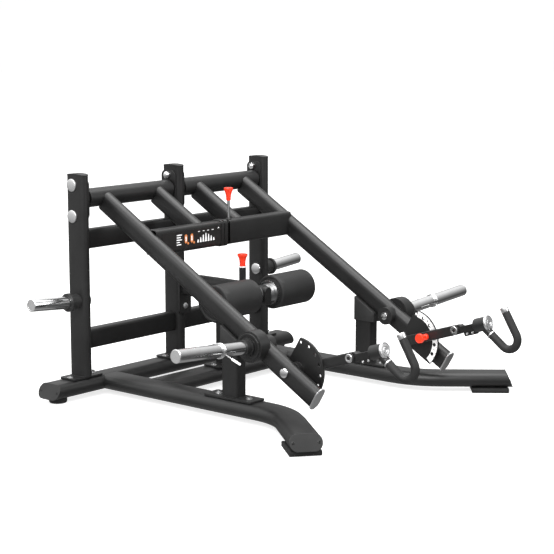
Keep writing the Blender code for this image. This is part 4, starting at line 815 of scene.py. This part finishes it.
barrel = turned([
    (0.0, 0.3345 - 0.360, 0), (0.0262, 0.3345 - 0.360), (0.0275, 0.3358 - 0.360),
    (0.0275, 0.3880 - 0.360, 1),
    (0.0300, 0.3888 - 0.360), (0.0304, 0.3900 - 0.360), (0.0304, 0.3948 - 0.360),
    (0.0292, 0.3966 - 0.360),
    (0.0262, 0.3972 - 0.360), (0.0250, 0.3964 - 0.360), (0.0236, 0.3964 - 0.360),
    (0.0226, 0.3972 - 0.360),
    (0.0150, 0.3974 - 0.360), (0.0142, 0.3964 - 0.360), (0.0128, 0.3964 - 0.360),
    (0.0120, 0.3974 - 0.360),
    (0.0070, 0.3975 - 0.360), (0.0062, 0.3960 - 0.360), (0.0, 0.3960 - 0.360),
])
for side, label in sides:
    base = leverFrame(side) @ Matrix.Translation((0.0, -lever["grip"], 0.0))
    bend, tip, rise = gripLine(28)
    drop = math.radians(gripShape["drop"])
    legWay = Vector((0.0, -math.cos(drop), math.sin(drop)))
    ringStart = gripShape["ring"]
    ringEnd = ringStart + gripShape["ringLong"]
    stub = turned(
        [(0.0, 0.0), (0.0165, 0.0), (0.0165, ringStart + 0.0004), (0.0, ringStart + 0.0004)], 40
    )
    ring = turned([
        (0.0, ringStart), (0.0168, ringStart), (0.0176, ringStart + 0.0009), (0.0176, ringEnd - 0.0009),
        (0.0168, ringEnd), (0.0, ringEnd),
    ], 40)
    endLong = gripShape["end"]
    end = turned([
        (0.0, -endLong), (0.0156, -endLong), (0.0161, -endLong + 0.0008), (0.0161, 0.0030),
        (0.0150, 0.0044),
        (0.0120, 0.0053), (0.0, 0.0055),
    ], 40)
    core = swept([legWay * 0.030] + bend + [tip - rise * 0.004], 0.0122, 18)
    parts = [
        (barrel, base @ aimed((0, 0, 0), (0, -1, 0)), None),
        (stub, base @ aimed((0, 0, 0), legWay), 0),
        (ring, base @ aimed((0, 0, 0), legWay), 1),
        (end, base @ aimed(tip, rise), 1),
        (core, base, 1),
    ]
    name = label + "_grip_bar"
    gather(name + "_dressed", label + "_grip", parts, [blackCoat, satinSteel], [name])
    start = legWay * (ringEnd + 0.0004)
    stop = tip - rise * (endLong + 0.0004)
    legPoints = [start.lerp(bend[0], k / 4) for k in range(4)]
    risePoints = [bend[-1].lerp(stop, (k + 1) / 5) for k in range(5)]
    sleeve = swept(legPoints + bend + risePoints, 0.0160, 28, 0.0012)
    name = label + "_grip_sleeve"
    piece = gather(
        name + "_foam", label + "_grip", [(sleeve, base, 0)], [sleeveFoam], [name], 60.0
    )
print("handles fitted")

# Pull pins: steel rod, collars and a flared red knob
lockPin = dict(x=0.0425, y=0.44979, z=0.68344)
rod = [
    (0.0, -0.0155, 0), (0.0042, -0.0155), (0.0059, -0.0135), (0.0059, 0.0776, 1), (0.0088, 0.0778),
    (0.0094, 0.0790),
    (0.0098, 0.0880), (0.0108, 0.0980), (0.0130, 0.1080), (0.0160, 0.1160), (0.0182, 0.1205),
    (0.0190, 0.1240),
    (0.0190, 0.1285), (0.0180, 0.1306), (0.0150, 0.1312), (0.0, 0.1313),
]
matrix = aimed((lockPin["x"], lockPin["y"], lockPin["z"]), (0, 0, 1))
gather(
    "lock_pin_dressed", "lock_pin", [(turned(rod), matrix, None)], [chrome, redKnob],
    ["lock_pin"]
)
bush = turned([
    (0.0066, 0.0), (0.0125, 0.0), (0.0125, 0.0030), (0.0112, 0.0042), (0.0066, 0.0042), (0.0066, 0.0),
], 36)
gather("lock_pin_bush", "right_arm", [(bush, matrix, 0)], [darkCoat])

rollerPin = dict(y=0.3363, foot=0.4407)
foot = rollerPin["foot"]
knob = [
    (0.0, foot, 0), (0.0036, foot), (0.0049, foot + 0.0016), (0.0049, 0.4994, 2), (0.0150, 0.4994),
    (0.0155, 0.5002),
    (0.0155, 0.5034), (0.0150, 0.5042, 1), (0.0128, 0.5044), (0.0124, 0.5130), (0.0128, 0.5210),
    (0.0138, 0.5300),
    (0.0162, 0.5390), (0.0196, 0.5450), (0.0212, 0.5480), (0.0214, 0.5515), (0.0204, 0.5542),
    (0.0170, 0.5550),
    (0.0, 0.5551),
]
matrix = aimed((0.0, rollerPin["y"], 0.0), (0, 0, 1))
parts = [(turned(knob), matrix, None)]
gather(
    "roller_pin_dressed", "roller_pull_pin", parts, [chrome, redKnob, whiteInk],
    ["roller_pull_pin"]
)

indexPin = dict(collar=0.003, tip=0.0252, knob=0.054)
for side, label in sides:
    start = lever["half"] + indexPin["collar"] + 0.0003
    end = start + indexPin["knob"]
    profile = [
        (0.0, -indexPin["tip"], 0), (0.0034, -indexPin["tip"]), (0.0049, -indexPin["tip"] + 0.0015),
        (0.0049, start, 1),
        (0.0110, start), (0.0120, start + 0.0010), (0.0120, start + 0.0098), (0.0110, start + 0.0110),
        (0.0090, start + 0.0124), (0.0088, start + 0.0200), (0.0098, start + 0.0280),
        (0.0128, start + 0.0336),
        (0.0166, start + 0.0374), (0.0183, start + 0.0396), (0.0186, start + 0.0425),
        (0.0186, end - 0.0030),
        (0.0174, end - 0.0010), (0.0138, end - 0.0001), (0.0130, end - 0.0010), (0.0, end - 0.0010),
    ]
    matrix = inFrame(leverFrame(side), (0.0, -lever["hole"], 0.0), (-side, 0, 0))
    name = label + "_index_pin"
    parts = [(turned(profile), matrix, None)]
    gather(name + "_dressed", name, parts, [chrome, redKnob], [name])
print("pins fitted")

# Foam rollers with rounded ends, and the toothed rings and chrome sleeve of their hub
roller = dict(y=0.2403, z=0.399, radius=0.070, inner=0.062, outer=0.274, edge=0.009, bore=0.0135)
for side, label in sides:
    inner, outer, edge = roller["inner"], roller["outer"], roller["edge"]
    rim = roller["radius"] - edge
    profile = [
        (roller["bore"], inner + 0.0004), (0.0540, inner + 0.0004), (0.0555, inner + 0.0016),
        (0.0570, inner + 0.0004)
    ]
    for k in range(7):
        turn = quarterTurn * k / 6
        profile.append((rim + edge * math.sin(turn), inner + edge - edge * math.cos(turn)))
    for k in range(9):
        along = inner + edge + (outer - inner - 2 * edge) * k / 8
        profile.append((roller["radius"] - 0.0002 * (k % 2), along))
    for k in range(7):
        turn = quarterTurn * k / 6
        profile.append((rim + edge * math.cos(turn), outer - edge + edge * math.sin(turn)))
    profile += [
        (0.0350, outer), (0.0330, outer - 0.0020), (roller["bore"], outer - 0.0020),
        (roller["bore"], inner + 0.0004)
    ]
    matrix = aimed((0.0, roller["y"], roller["z"]), (side, 0, 0))
    name = "foam_roller_" + label
    piece = gather(
        name + "_foam", name, [(turned(profile, 72), matrix, 0)], [foam], [name], 50.0
    )
teeth = dict(count=36, root=0.0475, tip=0.0520, bore=0.0446, start=0.0500, end=0.0608)
outline = []
for k in range(teeth["count"] * 4):
    radius = teeth["tip"] if k % 4 in (1, 2) else teeth["root"]
    turn = fullTurn * k / (teeth["count"] * 4)
    outline.append((radius * math.cos(turn), radius * math.sin(turn)))
long = teeth["end"] - teeth["start"]
gear = outlined([outline, circle(teeth["bore"], 64)], long)
bright = turned([
    (0.0432, 0.0486, 0), (0.0450, 0.0486), (0.0456, 0.0492), (0.0456, 0.0500), (0.0432, 0.0500),
    (0.0432, 0.0486),
], 72)
tube = turned([
    (0.0361, 0.0222, 0), (0.0364, 0.0222), (0.0366, 0.0228), (0.0366, 0.0476), (0.0364, 0.0482),
    (0.0361, 0.0482),
    (0.0361, 0.0222),
], 72)
parts = []
hubParts = []
for side, label in sides:
    matrix = aimed((0.0, roller["y"], roller["z"]), (side, 0, 0))
    shift = Matrix.Translation((0.0, 0.0, (teeth["start"] + teeth["end"]) / 2))
    parts += [(gear, matrix @ shift, 1), (bright, matrix, 0)]
    hubParts.append((tube, matrix, 0))
gather("roller_hub_rings", "roller_carriage", parts, [chrome, plastic])
gather("roller_hub_sleeve", "roller_carriage", hubParts, [hubSteel])

# Front end of the carriage's oval tube, through the hub
nose = dict(back=0.2560, front=0.1980, width=0.0390, height=0.0740, z=0.395, edge=0.0020)
noseMesh = outlined([rounded(nose["width"], nose["height"], nose["width"] / 2 - 0.0005, steps=10)],
                    nose["back"] - nose["front"], nose["edge"])
matrix = Matrix.Translation((0.0, (nose["back"] + nose["front"]) / 2, nose["z"]))
matrix = matrix @ Matrix(((1, 0, 0), (0, 0, -1), (0, 1, 0))).to_4x4()
gather("carriage_nose", "roller_carriage", [(noseMesh, matrix, 0)], [darkCoat])
print("rollers fitted")

# Printed card on the crossbar: plain bars, discs and wedges
card = dict(y=0.41865, thick=0.00035)


def cardShapes():
    white, orange = [], []
    for row in range(5):
        long = (0.030, 0.024, 0.030, 0.018, 0.026)[row]
        white.append(rounded(long, 0.0042, 0.0010, (-0.300 + long / 2, 0.6530 - row * 0.0095), 2))
    for column in range(2):
        x = -0.246 + column * 0.034
        orange.append(rounded(0.0150, 0.0360, 0.0070, (x, 0.6345), 5))
        white.append(rounded(0.0060, 0.0200, 0.0029, (x, 0.6345), 5))
        orange.append(circle(0.0050, 20, (x + 0.0125, 0.6160)))
    for number in range(7):
        x = -0.176 + number * 0.0155
        tall = (0.012, 0.020, 0.028, 0.034, 0.028, 0.020, 0.012)[number]
        white.append(
            [(x - 0.0050, 0.6130), (x + 0.0050, 0.6130), (x + 0.0022, 0.6130 + tall), (x - 0.0022, 0.6130 + tall)]
        )
    for number in range(4):
        white.append(rounded(0.0110, 0.0026, 0.0008, (-0.170 + number * 0.027, 0.6570), 2))
    return white, orange


facing = Matrix(((1, 0, 0), (0, 0, -1), (0, 1, 0))).to_4x4()
white, orange = cardShapes()
parts = []
for index, loops in enumerate((white, orange)):
    for loop in loops:
        lift = 0.00012 * (2 if index == 0 else 1)
        matrix = Matrix.Translation((0.0, card["y"] - lift, 0.0)) @ facing
        parts.append((outlined([loop], card["thick"]), matrix, index))
gather("card_print", "left_arm", parts, [whiteInk, orangeInk])
cardScrew = turned([
    (0.0, 0.0), (0.0052, 0.0), (0.0052, 0.0010), (0.0040, 0.0018), (0.0018, 0.0020), (0.0016, 0.0010),
    (0.0, 0.0010),
], 28)
matrix = aimed((-0.0535, card["y"], 0.6590), (0, -1, 0))
gather("card_screw", "left_arm", [(cardScrew, matrix, 0)], [chrome])
print("card printed")

# Floor, white surround and soft studio light
studio = dict(
    floor=0.58, lift=0.74, low=0.40, side=(0.16, 0.55), zenith=1.35, dimSide=0.35, brightSide=1.30,
    brightWay=(-0.76, 0.65, 0.0)
)
floorMesh = bpy.data.meshes.new("floor")
shape = bmesh.new()
bmesh.ops.create_circle(shape, cap_ends=True, radius=40.0, segments=96)
shape.to_mesh(floorMesh)
shape.free()
floor = bpy.data.objects.new("floor", floorMesh)
scene.collection.objects.link(floor)
finish = Finish("floor paint")
cloud = finish.noise(finish.place(), 1.5, 3.0)
tone = finish.mix(cloud, grey(studio["floor"]), grey(studio["floor"] + 0.03))
floorMesh.materials.append(finish.shade(
    Base_Color=tone, Roughness=0.9, Specular_IOR_Level=0.1, Emission_Color=grey(1.0),
    Emission_Strength=studio["lift"]
))
surroundMesh = bpy.data.meshes.new("surround")
shape = bmesh.new()
bmesh.ops.create_uvsphere(shape, u_segments=48, v_segments=24, radius=38.0)
shape.to_mesh(surroundMesh)
shape.free()
surround = bpy.data.objects.new("surround", surroundMesh)
scene.collection.objects.link(surround)
finish = Finish("surround paint")
surroundMesh.materials.append(finish.shade(
    Base_Color=grey(0.0), Roughness=1.0, Emission_Color=grey(1.0), Emission_Strength=1.0
))
floor.visible_glossy = False
surround.visible_diffuse = False
surround.visible_glossy = False
surround.visible_transmission = False
surround.visible_shadow = False

world = bpy.data.worlds.new("studio")
scene.world = world
world.use_nodes = True
sky = Finish("sky", world.node_tree)
way = sky.node("ShaderNodeTexCoord", output="Generated")
height = sky.node("ShaderNodeSeparateXYZ", {}, {0: way}, 2)
toward = sky.node(
    "ShaderNodeVectorMath", {"operation": "DOT_PRODUCT"}, {0: way, 1: studio["brightWay"]}, "Value"
)
strength = sky.spread(height, -1.0, -0.35, studio["low"], 0.0) + sky.spread(
    height, -0.30, 0.10, *studio["side"]
)
strength = strength + sky.spread(height, 0.10, 0.90, 0.0, studio["zenith"])
strength = strength * sky.spread(toward, -1.0, 1.0, studio["dimSide"], studio["brightSide"])
background = sky.node("ShaderNodeBackground", {}, {"Color": grey(1.0), "Strength": strength})
end = sky.tree.nodes.new("ShaderNodeOutputWorld")
sky.tree.links.new(background.socket, end.inputs["Surface"])

lamps = {
    "key": dict(spot=(-3.6, -1.6, 3.4), size=2.6, power=150.0),
    "top": dict(spot=(0.4, 0.3, 4.2), size=3.2, power=130.0),
    "front": dict(spot=(1.6, -4.2, 2.2), size=2.2, power=60.0),
}
for name, values in lamps.items():
    light = bpy.data.lights.new(name, "AREA")
    light.size = values["size"]
    light.energy = values["power"]
    item = bpy.data.objects.new(name, light)
    item.location = values["spot"]
    item.rotation_euler = (Vector((0.0, 0.0, 0.3)) - item.location).to_track_quat("-Z", "Y").to_euler()
    scene.collection.objects.link(item)
scene.view_settings.view_transform = "Standard"

# Camera at the angle of the photograph
shot = dict(eye=(-4.803, -3.9067, 1.508), azimuth=-49.8, elevation=9.3, lens=103.3)
azimuth, elevation = math.radians(shot["azimuth"]), math.radians(shot["elevation"])
away = Vector((
    math.sin(azimuth) * math.cos(elevation), -math.cos(azimuth) * math.cos(elevation),
    math.sin(elevation)
))
lens = bpy.data.cameras.new("shot")
lens.lens = shot["lens"]
lens.sensor_width = 36.0
camera = bpy.data.objects.new("shot", lens)
camera.location = shot["eye"]
camera.rotation_euler = (-away).to_track_quat("-Z", "Y").to_euler()
scene.collection.objects.link(camera)
scene.camera = camera

print("scene ready")
